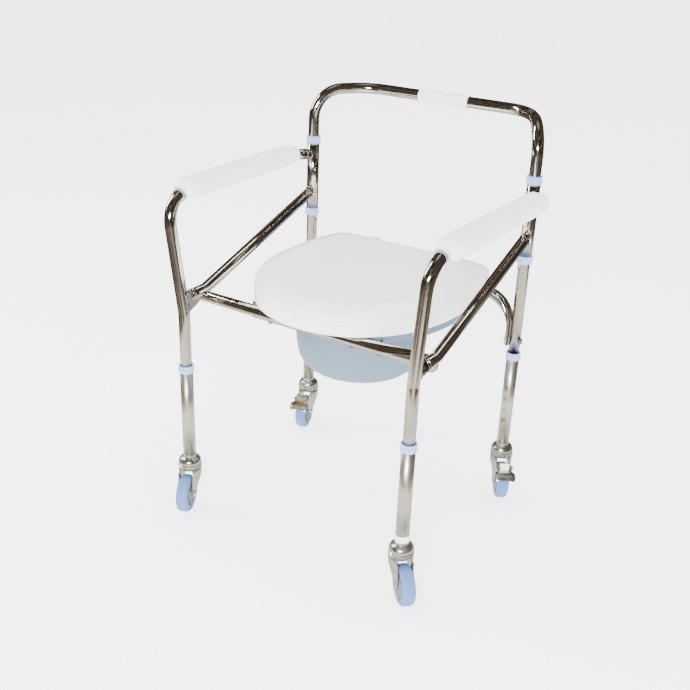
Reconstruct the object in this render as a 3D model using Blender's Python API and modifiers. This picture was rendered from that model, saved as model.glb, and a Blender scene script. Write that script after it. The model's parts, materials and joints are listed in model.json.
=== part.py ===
"""Commode chair on castors: chromed tube frame, hinged lid and seat ring, slide-out pail, telescoping legs.

Run with  blender --background --python part.py  (metres, +Z up, front of the chair faces -Y).
"""
import math

import bmesh
import bpy
from mathutils import Matrix, Vector

# ---------------------------------------------------------------- driving dimensions (metres)
GAP = 0.0003                 # clearance between pieces that touch
UPPER_R = 0.0111             # radius of the upper tubes, 22.2 mm stock
LOWER_R = 0.0127             # radius of the lower legs and sockets, 25.4 mm stock
WALL = 0.0012                # wall of every hollow tube
CENTRE_X, CENTRE_Y = 0.0052, 0.0256   # middle of the whole chair, from the middle of its legs

FRONT_X, FRONT_Y = 0.2465, -0.2105
REAR_X, REAR_Y = 0.2491, 0.2117

LEG_BOTTOM = 0.1144
INNER_TUBE_END = 0.2060      # where the upper tubes stop inside the lower legs
FRONT_COLLAR_Z = 0.3056
REAR_COLLAR_Z = 0.3152
BUTTON_Z = 0.1950
COLLAR_R, COLLAR_H = 0.0148, 0.015

LEAN_START_Z = 0.4208        # the front tube leans outwards from here up
ARM_CORNER = (0.2666, -0.2241, 0.6452)
ARM_REAR = (0.2763, 0.1744, 0.6452)
ARM_BEND_R = 0.0534

SOCKET_LOW_Z, SOCKET_HIGH_Z = 0.5165, 0.6805
SOCKET_BUTTON_Z = 0.5000
BACK_TOP_Z = 0.7787
BACK_BOW = 0.100             # how far the top bar bows rearwards
BACK_BAR_X = 0.180
BACK_CORNER_R, BACK_PLAN_R = 0.060, 0.080
SLEEVE_HALF = 0.055

BRACE_TOP_Z = 0.5673
KNUCKLE = (0.2514, -0.1446, 0.4482)
BRACE_END_Y = -0.187

BAR_Z = 0.4365               # centre of both crossbars
FRONT_BAR_Y = -0.150
FRONT_BAR_HALF = 0.258
FLAT_THICK, FLAT_TALL = 0.0030, 0.0165
REAR_FLAT_X = 0.2344
REAR_FLAT_END_Z = 0.3350
REAR_BOLT_Z = 0.3480
REAR_BEND_R = 0.060
CARRIER_BOLT_X = 0.089
BOLT_HOLE_R, SCREW_HOLE_R = 0.0033, 0.0028
BUTTON_HOLE_R = 0.0038

SEAT_HALF_W = 0.203
SEAT_WIDEST_Y = 0.050
SEAT_FRONT_REACH = 0.245
SEAT_REAR_Y = 0.226
SEAT_REAR_HALF_W = 0.188
SEAT_CORNER_R = 0.045
SEAT_POWER = 2.1
RING_BOTTOM_Z, RING_TOP_Z = 0.4503, 0.4780
LID_BOTTOM_Z, LID_TOP_Z = 0.4785, 0.4985
HINGE_Y, HINGE_Z = 0.2370, 0.4660
HINGE_PIN_R, HINGE_EYE_R = 0.0030, 0.0070
CARRIER_EYE_X, RING_EYE_X, LID_EYE_X = 0.070, 0.046, 0.098
EYE_WIDTH = 0.020

CARRIER_FRONT_Y, CARRIER_REAR_Y = -0.1375, 0.1990
CARRIER_LOW_Z, CARRIER_TOP_Z = 0.4370, 0.4500
TONGUE_LOW_Z = 0.4480
SHELL = 0.003
PAIL_Y = 0.025
PAIL_R, PAIL_DEPTH, PAIL_POWER = 0.127, 0.158, 6.3
PAIL_BOWL_TOP_Z = 0.455      # height at which the bowl's curve would reach its full width
PAIL_RIM_Z, PAIL_RIM_R = 0.4180, 0.1370
RAIL_X, RAIL_LOW_Z, RAIL_FLOOR = 0.1415, 0.4150, 0.0025
DISCHARGE_R = 0.112

PAD_NOSE_Y = -0.186
PAD_HALF_W, PAD_LOW, PAD_HIGH = 0.0238, 0.0160, 0.0200
PAD_MIDDLE_Z = ARM_REAR[2] + 0.0015
PAD_SQUARENESS = 0.62

WHEEL_R, WHEEL_HALF_W = 0.0375, 0.0120
AXLE_R = 0.0040
TRAIL = 0.028
RACE_Z = 0.0870
FORK_TOP_Z = 0.0860
FORK_INNER, FORK_THICK = 0.0144, 0.0024
CHEEK_END_R = 0.0095
PEDAL_T, PEDAL_Z = 0.050, 0.0805
# trail direction of each castor, degrees from +X
CASTORS = {"front_left": (-FRONT_X, FRONT_Y, -67), "front_right": (FRONT_X, FRONT_Y, -43),
           "rear_left": (-REAR_X, REAR_Y, -73), "rear_right": (REAR_X, REAR_Y, -58)}
SIDES = {"left": -1, "right": 1}
TUBE_SIDES = 16
TURNED_STEPS = 16

# ---------------------------------------------------------------- scene set-up
for old in list(bpy.data.objects):
    bpy.data.objects.remove(old, do_unlink=True)


def new_collection(name):
    made = bpy.data.collections.new(name)
    bpy.context.scene.collection.children.link(made)
    return made


PARTS = new_collection("commode_chair")
CUTTERS = new_collection("cutters")
ROOT = bpy.data.objects.new("chair_root", None)
ROOT.location = (-CENTRE_X, -CENTRE_Y, 0)
PARTS.objects.link(ROOT)


def material(name, colour, metallic, roughness):
    made = bpy.data.materials.new(name)
    made.use_nodes = True
    shader = made.node_tree.nodes["Principled BSDF"]
    shader.inputs["Base Color"].default_value = (*colour, 1)
    shader.inputs["Metallic"].default_value = metallic
    shader.inputs["Roughness"].default_value = roughness
    return made


CHROME = ((0.62, 0.60, 0.57), 1.0, 0.12)
LEG_METAL = ((0.68, 0.66, 0.62), 1.0, 0.22)
ZINC = ((0.60, 0.61, 0.58), 1.0, 0.32)
PALE_PLASTIC = ((0.55, 0.63, 0.80), 0.0, 0.40)
WHITE_PLASTIC = ((0.86, 0.85, 0.83), 0.0, 0.35)
PAIL_PLASTIC = ((0.38, 0.47, 0.58), 0.0, 0.38)
TYRE_RUBBER = ((0.27, 0.38, 0.62), 0.0, 0.55)
HUB_PLASTIC = ((0.45, 0.52, 0.55), 0.0, 0.45)
BRASS = ((0.62, 0.50, 0.30), 1.0, 0.30)
PAD_FOAM = ((0.88, 0.88, 0.87), 0.0, 0.60)


# ---------------------------------------------------------------- modelling helpers
def finish(obj, look, origin=(0, 0, 0), turn=0.0, parent=ROOT):
    """Give a modelled piece its material, move its origin to a joint axis and parent it."""
    obj.data.materials.clear()
    obj.data.materials.append(material(obj.name, *look))
    obj.data.polygons.foreach_set("use_smooth", [True] * len(obj.data.polygons))
    obj.data.set_sharp_from_angle(angle=math.radians(35))
    if turn == 0.0:
        obj.data.transform(Matrix.Translation(-Vector(origin)))
    obj.location = origin
    obj.rotation_euler = (0, 0, turn)
    obj.parent = parent
    return obj


def link_mesh(name, mesh, collection=PARTS):
    obj = bpy.data.objects.new(name, mesh)
    collection.objects.link(obj)
    return obj


def from_bmesh(name, bm, collection=PARTS):
    bmesh.ops.recalc_face_normals(bm, faces=bm.faces)
    mesh = bpy.data.meshes.new(name)
    bm.to_mesh(mesh)
    bm.free()
    return link_mesh(name, mesh, collection)


def bake(obj):
    """Replace an object's curve or modifiers by the mesh they evaluate to."""
    bpy.context.view_layer.update()
    graph = bpy.context.evaluated_depsgraph_get()
    mesh = bpy.data.meshes.new_from_object(obj.evaluated_get(graph))
    bm = bmesh.new()
    bm.from_mesh(mesh)
    bm.transform(obj.matrix_world)
    bmesh.ops.remove_doubles(bm, verts=bm.verts, dist=0.00001)
    name = obj.name
    collection = obj.users_collection[0]
    bpy.data.objects.remove(obj, do_unlink=True)
    return from_bmesh(name, bm, collection)


def rounded_path(points, radii, steps=5):
    """Corner points joined by straight runs, each inner corner rounded to its own radius."""
    path = [Vector(points[0])]
    for before, corner, after, radius in zip(points, points[1:], points[2:], radii):
        corner = Vector(corner)
        back = (Vector(before) - corner).normalized()
        ahead = (Vector(after) - corner).normalized()
        angle = back.angle(ahead)
        reach = radius / math.tan(angle / 2)
        centre = corner + (back + ahead).normalized() * radius / math.sin(angle / 2)
        start = corner + back * reach - centre
        end = corner + ahead * reach - centre
        sweep = math.pi - angle
        for step in range(steps + 1):
            share = step / steps
            arm = (math.sin((1 - share) * sweep) * start + math.sin(share * sweep) * end) / math.sin(sweep)
            path.append(centre + arm)
    path.append(Vector(points[-1]))
    return path


def tube(name, path, radius, wall=None, collection=PARTS):
    """A bent tube: hollow with open ends when a wall is given, otherwise solid with flat ends."""
    curve = bpy.data.curves.new(name, "CURVE")
    curve.dimensions = "3D"
    curve.bevel_depth = radius
    curve.bevel_resolution = TUBE_SIDES // 4 - 1
    curve.use_fill_caps = wall is None
    spline = curve.splines.new("POLY")
    spline.points.add(len(path) - 1)
    for point, place in zip(spline.points, path):
        point.co = (*place, 1)
    obj = bake(link_mesh(name, curve, collection))
    if wall:
        skin = obj.modifiers.new("wall", "SOLIDIFY")
        skin.thickness = wall
        skin.offset = -1
        obj = bake(obj)
    return obj


def turned(name, profile, axis="Z", at=(0, 0, 0), steps=TURNED_STEPS, collection=PARTS):
    """A turned piece: a (radius, height) outline spun about an axis; a closed outline gives a ring."""
    ring = profile[0][0] > 0
    mesh = bpy.data.meshes.new(name)
    vertices = [(radius, 0, height) for radius, height in profile]
    edges = [(index, index + 1) for index in range(len(profile) - 1)]
    if ring:
        edges.append((len(profile) - 1, 0))
    mesh.from_pydata(vertices, edges, [])
    obj = link_mesh(name, mesh, collection)
    spin = obj.modifiers.new("spin", "SCREW")
    spin.steps = steps
    spin.render_steps = steps
    spin.use_merge_vertices = True
    spin.merge_threshold = 0.00001
    if axis == "X":
        obj.rotation_euler = (0, math.pi / 2, 0)
    if axis == "Y":
        obj.rotation_euler = (-math.pi / 2, 0, 0)
    obj.location = at
    return bake(obj)


def box(name, low, high, collection=PARTS):
    bm = bmesh.new()
    size = Vector(high) - Vector(low)
    middle = (Vector(high) + Vector(low)) / 2
    bmesh.ops.create_cube(bm, size=1, matrix=Matrix.Translation(middle) @ Matrix.Diagonal((*size, 1)))
    return from_bmesh(name, bm, collection)


def rod(name, start, end, radius, sides=16, collection=PARTS):
    bm = bmesh.new()
    along = Vector(end) - Vector(start)
    place = Matrix.Translation((Vector(start) + Vector(end)) / 2)
    spin = along.to_track_quat("Z", "Y").to_matrix().to_4x4()
    bmesh.ops.create_cone(bm, cap_ends=True, segments=sides, radius1=radius, radius2=radius,
                          depth=along.length, matrix=place @ spin)
    return from_bmesh(name, bm, collection)


def plate(name, outline, low, high, plane="XY", collection=PARTS):
    """A flat outline given thickness; plane YZ stands it upright, with low and high along X."""
    curve = bpy.data.curves.new(name, "CURVE")
    curve.dimensions = "2D"
    curve.fill_mode = "BOTH"
    curve.extrude = (high - low) / 2
    spline = curve.splines.new("POLY")
    spline.points.add(len(outline) - 1)
    for point, place in zip(spline.points, outline):
        point.co = (*place, 0, 1)
    spline.use_cyclic_u = True
    obj = link_mesh(name, curve, collection)
    if plane == "XY":
        obj.location = (0, 0, (low + high) / 2)
    if plane == "YZ":
        obj.rotation_euler = (math.pi / 2, 0, math.pi / 2)
        obj.location = ((low + high) / 2, 0, 0)
    return bake(obj)


def loft(name, rings, closed=False, collection=PARTS):
    """A skin through outlines with equal numbers of points; closed joins the last outline to the first."""
    bm = bmesh.new()
    rows = [[bm.verts.new(point) for point in ring] for ring in rings]
    pairs = list(zip(rows, rows[1:]))
    if closed:
        pairs.append((rows[-1], rows[0]))
    for lower, upper in pairs:
        count = len(lower)
        for index in range(count):
            following = (index + 1) % count
            bm.faces.new((lower[index], lower[following], upper[following], upper[index]))
    if not closed:
        bm.faces.new(rows[0])
        bm.faces.new(rows[-1])
    return from_bmesh(name, bm, collection)


def combine(obj, other, operation):
    """Cut another solid out of this one, or join it on, and keep the result as a plain mesh."""
    if other.users_collection[0] is PARTS:
        PARTS.objects.unlink(other)
        CUTTERS.objects.link(other)
    other.hide_render = True
    other.display_type = "WIRE"
    step = obj.modifiers.new(operation, "BOOLEAN")
    step.operation = operation
    step.solver = "EXACT"
    step.object = other
    return bake(obj)


def cut(obj, *others):
    for other in others:
        obj = combine(obj, other, "DIFFERENCE")
    return obj


def join(obj, *others):
    for other in others:
        obj = combine(obj, other, "UNION")
    return obj


def flattened_bar(name, path, flatness, across):
    """A solid round bar pressed flat where flatness nears 1; across is the direction that widens."""
    wide = Vector(across)
    rings = []
    for index, centre in enumerate(path):
        ahead = path[min(index + 1, len(path) - 1)] - path[max(index - 1, 0)]
        thin = ahead.normalized().cross(wide)
        share = flatness[index]
        half_thin = UPPER_R + (FLAT_THICK - UPPER_R) * share
        half_wide = UPPER_R + (FLAT_TALL - UPPER_R) * share
        ring = []
        for side in range(TUBE_SIDES):
            angle = 2 * math.pi * side / TUBE_SIDES
            ring.append(centre + thin * half_thin * math.cos(angle) + wide * half_wide * math.sin(angle))
        rings.append(ring)
    return loft(name, rings)


def smooth_step(value, low, high):
    share = min(max((value - low) / (high - low), 0), 1)
    return share * share * (3 - 2 * share)


# ---------------------------------------------------------------- tube routes
def arm_path(side):
    points = [(side * FRONT_X, FRONT_Y, INNER_TUBE_END), (side * FRONT_X, FRONT_Y, LEAN_START_Z),
              (side * ARM_CORNER[0], *ARM_CORNER[1:]), (side * ARM_REAR[0], *ARM_REAR[1:]),
              (side * REAR_X, REAR_Y, ARM_REAR[2])]
    return rounded_path(points, [0.060, ARM_BEND_R, 0.030])


def brace_path(side):
    points = [(side * KNUCKLE[0], BRACE_END_Y, KNUCKLE[2]), (side * KNUCKLE[0], *KNUCKLE[1:]),
              (side * REAR_X, REAR_Y, BRACE_TOP_Z)]
    return rounded_path(points, [0.040], steps=4)


def back_path():
    end = [(REAR_X, REAR_Y, INNER_TUBE_END), (REAR_X, REAR_Y, BACK_TOP_Z),
           (BACK_BAR_X, REAR_Y + BACK_BOW, BACK_TOP_Z)]
    points = end + [(-x, y, z) for x, y, z in reversed(end)]
    return rounded_path(points, [BACK_CORNER_R, BACK_PLAN_R, BACK_PLAN_R, BACK_CORNER_R], steps=5)


# ---------------------------------------------------------------- frame
def side_frame(word, side):
    """Arm tube, socket, brace and bracket of one side."""
    socket_keep_out = rod("keep_out", (side * REAR_X, REAR_Y, 0.45), (side * REAR_X, REAR_Y, 0.75),
                          LOWER_R + GAP, 24, CUTTERS)
    arm = tube("arm_tube_" + word, arm_path(side), UPPER_R, WALL)
    arm = cut(arm, socket_keep_out)
    finish(arm, CHROME)

    brace = tube("brace_" + word, brace_path(side), UPPER_R, WALL)
    brace = cut(brace, socket_keep_out)
    finish(brace, CHROME)

    socket = tube("socket_tube_" + word, [Vector((side * REAR_X, REAR_Y, SOCKET_LOW_Z)),
                                          Vector((side * REAR_X, REAR_Y, SOCKET_HIGH_Z))],
                  LOWER_R, LOWER_R - UPPER_R - GAP)
    finish(socket, CHROME)

    reach = FRONT_Y - 0.004
    shape = [(reach, 0.4120), (FRONT_BAR_Y - 0.022, 0.4215), (FRONT_BAR_Y - 0.013, 0.4300),
             (FRONT_BAR_Y - 0.013, KNUCKLE[2]), (reach, 0.4600)]
    bracket = plate("hinge_bracket_" + word, shape, side * FRONT_X - 0.0028, side * FRONT_X + 0.0028, "YZ")
    arm_keep_out = tube("keep_out", arm_path(side), UPPER_R + GAP, collection=CUTTERS)
    brace_keep_out = tube("keep_out", brace_path(side), UPPER_R + GAP, collection=CUTTERS)
    bracket = cut(bracket, arm_keep_out, brace_keep_out)
    finish(bracket, CHROME)


def collar(name, x, y, low, points_up):
    """Plastic bush over the end of an outer tube, stepped in to grip the inner tube."""
    inner, outer = UPPER_R + GAP, LOWER_R + GAP
    step = COLLAR_H - 0.003
    profile = [(COLLAR_R - 0.001, COLLAR_H), (COLLAR_R, COLLAR_H - 0.0015), (COLLAR_R, 0.0015),
               (COLLAR_R - 0.001, 0), (outer, 0), (outer, step), (inner, step), (inner, COLLAR_H)]
    if not points_up:
        profile = [(radius, COLLAR_H - height) for radius, height in reversed(profile)]
    return finish(turned(name, profile, at=(x, y, low)), PALE_PLASTIC, origin=(x, y, low))


def back_frame():
    """The rear posts and backrest in one bent tube, with its bolts and snap buttons."""
    frame = tube("rear_frame_tube", back_path(), UPPER_R, WALL)
    for side in SIDES.values():
        inside, outside = side * (REAR_X - 0.020), side * (REAR_X + 0.030)
        bolt_hole = rod("hole", (inside, REAR_Y, REAR_BOLT_Z), (outside, REAR_Y, REAR_BOLT_Z),
                        BOLT_HOLE_R, 12, CUTTERS)
        button_hole = rod("hole", (inside, REAR_Y, SOCKET_BUTTON_Z), (side * REAR_X, REAR_Y, SOCKET_BUTTON_Z),
                          BUTTON_HOLE_R, 12, CUTTERS)
        frame = cut(frame, bolt_hole, button_hole)
    finish(frame, CHROME)
    length = 2 * SLEEVE_HALF
    inner, outer = UPPER_R + GAP, UPPER_R + 0.0017
    profile = [(inner, 0), (outer, 0), (outer, length), (inner, length)]
    at = (-SLEEVE_HALF, REAR_Y + BACK_BOW, BACK_TOP_Z)
    finish(turned("backrest_sleeve", profile, axis="X", at=at), WHITE_PLASTIC)


def crossbars():
    """Front bar flattened at its right end, rear bar bent down and flattened at both ends."""
    count = 16
    path = []
    for index in range(count + 1):
        path.append(Vector((FRONT_BAR_HALF * (2 * index / count - 1), FRONT_BAR_Y, BAR_Z)))
    flat = [smooth_step(point.x, 0.150, 0.225) for point in path]
    front = flattened_bar("front_crossbar", path, flat, (0, 0, 1))
    for side in SIDES.values():
        front = cut(front, tube("keep_out", brace_path(side), UPPER_R + GAP, collection=CUTTERS))
        x = side * CARRIER_BOLT_X
        front = cut(front, rod("hole", (x, FRONT_BAR_Y, BAR_Z - 0.030), (x, FRONT_BAR_Y, BAR_Z + 0.030),
                               SCREW_HOLE_R, 12, CUTTERS))
    finish(front, CHROME)

    corners = [(-REAR_FLAT_X, REAR_Y, REAR_FLAT_END_Z), (-REAR_FLAT_X, REAR_Y, BAR_Z),
               (REAR_FLAT_X, REAR_Y, BAR_Z), (REAR_FLAT_X, REAR_Y, REAR_FLAT_END_Z)]
    path = rounded_path(corners, [REAR_BEND_R, REAR_BEND_R], steps=8)
    flat = [1 - smooth_step(point.z, BAR_Z - 0.045, BAR_Z - 0.006) for point in path]
    rear = flattened_bar("rear_crossbar", path, flat, (0, 1, 0))
    for side in SIDES.values():
        rear = cut(rear, rod("hole", (side * (REAR_FLAT_X - 0.015), REAR_Y, REAR_BOLT_Z),
                             (side * (REAR_FLAT_X + 0.010), REAR_Y, REAR_BOLT_Z), BOLT_HOLE_R, 12, CUTTERS))
    finish(rear, CHROME)


def bolts():
    for word, side in SIDES.items():
        low, high = 0.2262, 0.2632
        inner_face = REAR_FLAT_X - FLAT_THICK - GAP
        outer_face = REAR_X + UPPER_R + GAP
        profile = [(0, low), (0.0040, low), (0.0055, low + 0.0020), (0.0055, inner_face),
                   (0.0030, inner_face), (0.0030, outer_face), (0.0060, outer_face),
                   (0.0060, high - 0.0008), (0.0050, high), (0, high)]
        bolt = turned("rear_bolt_" + word, profile, axis="X", at=(0, REAR_Y, REAR_BOLT_Z), steps=12)
        if side < 0:
            bolt.data.transform(Matrix.Scale(-1, 4, (1, 0, 0)))
            bolt.data.flip_normals()
        finish(bolt, ZINC)

        tip = BAR_Z - UPPER_R - GAP
        profile = [(0, CARRIER_TOP_Z - 0.0002), (0.0025, CARRIER_TOP_Z - 0.0002), (0.0025, tip),
                   (0.0045, tip), (0.0045, tip - 0.0040), (0.0030, tip - 0.0055), (0, tip - 0.0060)]
        screw = turned("carrier_bolt_" + word, profile, at=(side * CARRIER_BOLT_X, FRONT_BAR_Y, 0), steps=12)
        finish(screw, ZINC)


def snap_button(name, at, facing):
    """Spring-loaded pin that stands out of a hole in a tube; it is pressed in along its axis."""
    profile = [(0, -0.0050), (0.0034, -0.0050), (0.0034, 0.0008), (0.0026, 0.0018), (0.0012, 0.0023),
               (0, 0.0024)]
    button = turned(name, profile, steps=12)
    turn = Vector(facing).to_track_quat("Z", "Y").to_matrix().to_4x4()
    button.data.transform(turn)
    button.data.transform(Matrix.Translation(Vector(at)))
    return finish(button, ZINC, origin=at)


def arm_pad(word, side):
    """Moulded pad round the arm tube, with a rounded nose where the tube runs down."""
    # distance behind the nose, and size there as a share of the full section
    stations = [(0.000, 0.52), (0.003, 0.74), (0.009, 0.92), (0.018, 1.0), (0.18, 1.0), (0.335, 1.0),
                (0.352, 0.97), (0.358, 0.86)]
    slope = (ARM_REAR[0] - ARM_CORNER[0]) / (ARM_REAR[1] - ARM_CORNER[1])
    rings = []
    for along, scale in stations:
        y = PAD_NOSE_Y + along
        x = side * (ARM_CORNER[0] + slope * (y - ARM_CORNER[1]))
        ring = []
        for step in range(20):
            angle = 2 * math.pi * step / 20
            across, up = math.cos(angle), math.sin(angle)
            across = math.copysign(abs(across) ** PAD_SQUARENESS, across)
            up = math.copysign(abs(up) ** PAD_SQUARENESS, up)
            high = PAD_HIGH if up > 0 else PAD_LOW
            ring.append(Vector((x + across * PAD_HALF_W * scale, y, PAD_MIDDLE_Z + up * high * scale)))
        rings.append(ring)
    pad = loft("arm_pad_" + word, rings)
    pad = cut(pad, tube("keep_out", arm_path(side), UPPER_R + GAP, collection=CUTTERS))
    finish(pad, PAD_FOAM)


# ---------------------------------------------------------------- seat, lid, carrier and pail
def seat_outline(inset, z, front_limit=None, rear_limit=None):
    """Plan of the seat drawn in by an inset: rounded front, nearly straight rear, optional trims."""
    half, reach = SEAT_HALF_W - inset, SEAT_FRONT_REACH - inset
    rear, rear_half = SEAT_REAR_Y - inset, SEAT_REAR_HALF_W - inset
    corner = SEAT_CORNER_R
    points = []
    front_steps, corner_steps = 20, 4
    for step in range(front_steps + 1):
        angle = math.pi * step / front_steps
        across, along = math.cos(angle), math.sin(angle)
        x = math.copysign(abs(across) ** (2 / SEAT_POWER), across) * half
        points.append((x, SEAT_WIDEST_Y - reach * abs(along) ** (2 / SEAT_POWER)))
    left = [(-half * 0.985, SEAT_WIDEST_Y + 0.055), (-rear_half - 0.007, rear - corner - 0.025)]
    for step in range(corner_steps + 1):
        angle = math.pi / 2 * step / corner_steps
        left.append((-rear_half + corner * (1 - math.cos(angle)), rear - corner + corner * math.sin(angle)))
    right = [(-x, y) for x, y in reversed(left)]
    ring = []
    for x, y in points + left + right:
        if front_limit is not None:
            y = max(y, front_limit)
        if rear_limit is not None:
            y = min(y, rear_limit)
        ring.append((x, y, z))
    return ring


def hole_outline(half_w, front, rear, z):
    """Oval opening with as many points as the seat outline, each on the ray of its outer point."""
    middle = (front + rear) / 2
    ring = []
    for x, y, _ in seat_outline(0, z):
        angle = math.atan2((y - middle) / (rear - front) * 2, x / half_w)
        ring.append((half_w * math.cos(angle), middle + (rear - front) / 2 * math.sin(angle), z))
    return ring


def hinge_eye(name, x, low_y, low_z, high_z):
    """A web that ends in an eye round the hinge pin."""
    half = EYE_WIDTH / 2
    web = box(name, (x - half, low_y, low_z), (x + half, HINGE_Y, high_z))
    eye = rod("eye", (x - half - 0.0002, HINGE_Y, HINGE_Z), (x + half + 0.0002, HINGE_Y, HINGE_Z),
              HINGE_EYE_R, 16)
    return join(web, eye)


def pin_bore():
    return rod("pin_bore", (-SEAT_HALF_W, HINGE_Y, HINGE_Z), (SEAT_HALF_W, HINGE_Y, HINGE_Z),
               HINGE_PIN_R + GAP, 16, CUTTERS)


def seat_ring():
    under = RING_TOP_Z - SHELL - 0.001
    lip = RING_TOP_Z - 0.010
    oval = (0.105, -0.125, 0.150)
    wider = (0.109, -0.129, 0.154)
    rings = [seat_outline(0.0008, RING_BOTTOM_Z), seat_outline(0, RING_BOTTOM_Z + 0.006),
             seat_outline(0.0010, RING_TOP_Z - 0.006), seat_outline(0.0050, RING_TOP_Z),
             hole_outline(*oval, RING_TOP_Z), hole_outline(*oval, lip), hole_outline(*wider, lip),
             hole_outline(*wider, under), seat_outline(0.0070, under), seat_outline(SHELL, RING_BOTTOM_Z)]
    ring = loft("seat_ring", rings, closed=True)
    for side in SIDES.values():
        ring = join(ring, hinge_eye("eye_web", side * RING_EYE_X, SEAT_REAR_Y - 0.0040, HINGE_Z - 0.004,
                                    HINGE_Z + 0.005))
    ring = cut(ring, pin_bore())
    finish(ring, WHITE_PLASTIC, origin=(0, HINGE_Y, HINGE_Z))


def seat_lid():
    rim = 0.0045
    rings = [seat_outline(0.075, LID_TOP_Z - SHELL), seat_outline(0.036, LID_TOP_Z - 0.0025 - SHELL),
             seat_outline(0.016, LID_TOP_Z - 0.0080 - SHELL),
             seat_outline(rim + SHELL, LID_BOTTOM_Z + 0.006),
             seat_outline(rim + SHELL, LID_BOTTOM_Z), seat_outline(rim, LID_BOTTOM_Z),
             seat_outline(rim - 0.0005, LID_BOTTOM_Z + 0.0045), seat_outline(0.0075, LID_TOP_Z - 0.0090),
             seat_outline(0.014, LID_TOP_Z - 0.0050), seat_outline(0.024, LID_TOP_Z - 0.0018),
             seat_outline(0.036, LID_TOP_Z - 0.0004), seat_outline(0.060, LID_TOP_Z),
             seat_outline(0.100, LID_TOP_Z)]
    lid = loft("seat_lid", rings)
    half = EYE_WIDTH / 2 - 0.0002
    for side in SIDES.values():
        x = side * LID_EYE_X
        web = hinge_eye("eye_web", x, HINGE_Y - 0.0045, HINGE_Z, LID_BOTTOM_Z + 0.006)
        arm = box("arm", (x - half, SEAT_REAR_Y - 0.0065, LID_BOTTOM_Z + 0.0004),
                  (x + half, HINGE_Y - 0.0002, LID_BOTTOM_Z + 0.0056))
        lid = join(lid, web, arm)
    lid = cut(lid, pin_bore())
    finish(lid, WHITE_PLASTIC, origin=(0, HINGE_Y, HINGE_Z))


def hinge_pin():
    end = LID_EYE_X + EYE_WIDTH / 2 + 0.003
    profile = [(0, -end), (HINGE_PIN_R, -end), (HINGE_PIN_R, end), (0, end)]
    finish(turned("hinge_pin", profile, axis="X", at=(0, HINGE_Y, HINGE_Z), steps=16), ZINC)


def pail_carrier():
    """Plate between the crossbars that holds the hinge and hangs the rails of the pail."""
    front, rear = CARRIER_FRONT_Y, CARRIER_REAR_Y
    inner_front, inner_rear = front + SHELL, rear - SHELL
    under = CARRIER_TOP_Z - SHELL
    oval = (DISCHARGE_R, PAIL_Y - DISCHARGE_R, PAIL_Y + DISCHARGE_R)
    rings = [seat_outline(0.0015, CARRIER_TOP_Z - 0.0020, front, rear),
             seat_outline(0.0015, CARRIER_LOW_Z, front, rear),
             seat_outline(0.0015 + SHELL, CARRIER_LOW_Z, inner_front, inner_rear),
             seat_outline(0.0015 + SHELL, under, inner_front, inner_rear),
             hole_outline(*oval, under), hole_outline(*oval, CARRIER_TOP_Z),
             seat_outline(0.0040, CARRIER_TOP_Z, front + 0.0005, rear - 0.0005)]
    carrier = loft("pail_carrier", rings, closed=True)

    top = CARRIER_TOP_Z - 0.0012
    channel = box("channel", (-RAIL_X, front + 0.0006, RAIL_LOW_Z), (RAIL_X, rear - 0.0006, top))
    inside = box("inside", (-RAIL_X + SHELL, front + 0.0036, RAIL_LOW_Z + RAIL_FLOOR),
                 (RAIL_X - SHELL, rear + 0.02, CARRIER_TOP_Z + 0.02), CUTTERS)
    slot_half = PAIL_R + 0.002
    slot = box("slot", (-slot_half, PAIL_Y - slot_half - 0.001, RAIL_LOW_Z - 0.01),
               (slot_half, rear + 0.02, RAIL_LOW_Z + 0.01), CUTTERS)
    carrier = join(carrier, cut(channel, inside, slot))

    tongue_half, half = 0.012, EYE_WIDTH / 2
    strap_top = CARRIER_TOP_Z - 0.0004
    for side in SIDES.values():
        x = side * CARRIER_BOLT_X
        tongue = box("tongue", (x - tongue_half, FRONT_BAR_Y - 0.010, TONGUE_LOW_Z),
                     (x + tongue_half, front + 0.006, strap_top))
        tongue = cut(tongue, rod("hole", (x, FRONT_BAR_Y, CARRIER_TOP_Z - 0.010),
                                 (x, FRONT_BAR_Y, CARRIER_TOP_Z + 0.010), SCREW_HOLE_R, 12, CUTTERS))
        x = side * CARRIER_EYE_X
        strap = box("strap", (x - half + 0.0004, rear - 0.006, TONGUE_LOW_Z),
                    (x + half - 0.0004, HINGE_Y + 0.0035, strap_top))
        post = box("post", (x - half, HINGE_Y - 0.0035, TONGUE_LOW_Z - 0.0004),
                   (x + half, HINGE_Y + 0.0040, HINGE_Z))
        eye = rod("eye", (x - half - 0.0002, HINGE_Y, HINGE_Z), (x + half + 0.0002, HINGE_Y, HINGE_Z),
                  HINGE_EYE_R, 16)
        carrier = join(carrier, tongue, join(post, eye, strap))
    carrier = cut(carrier, pin_bore())
    finish(carrier, PAIL_PLASTIC)


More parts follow.
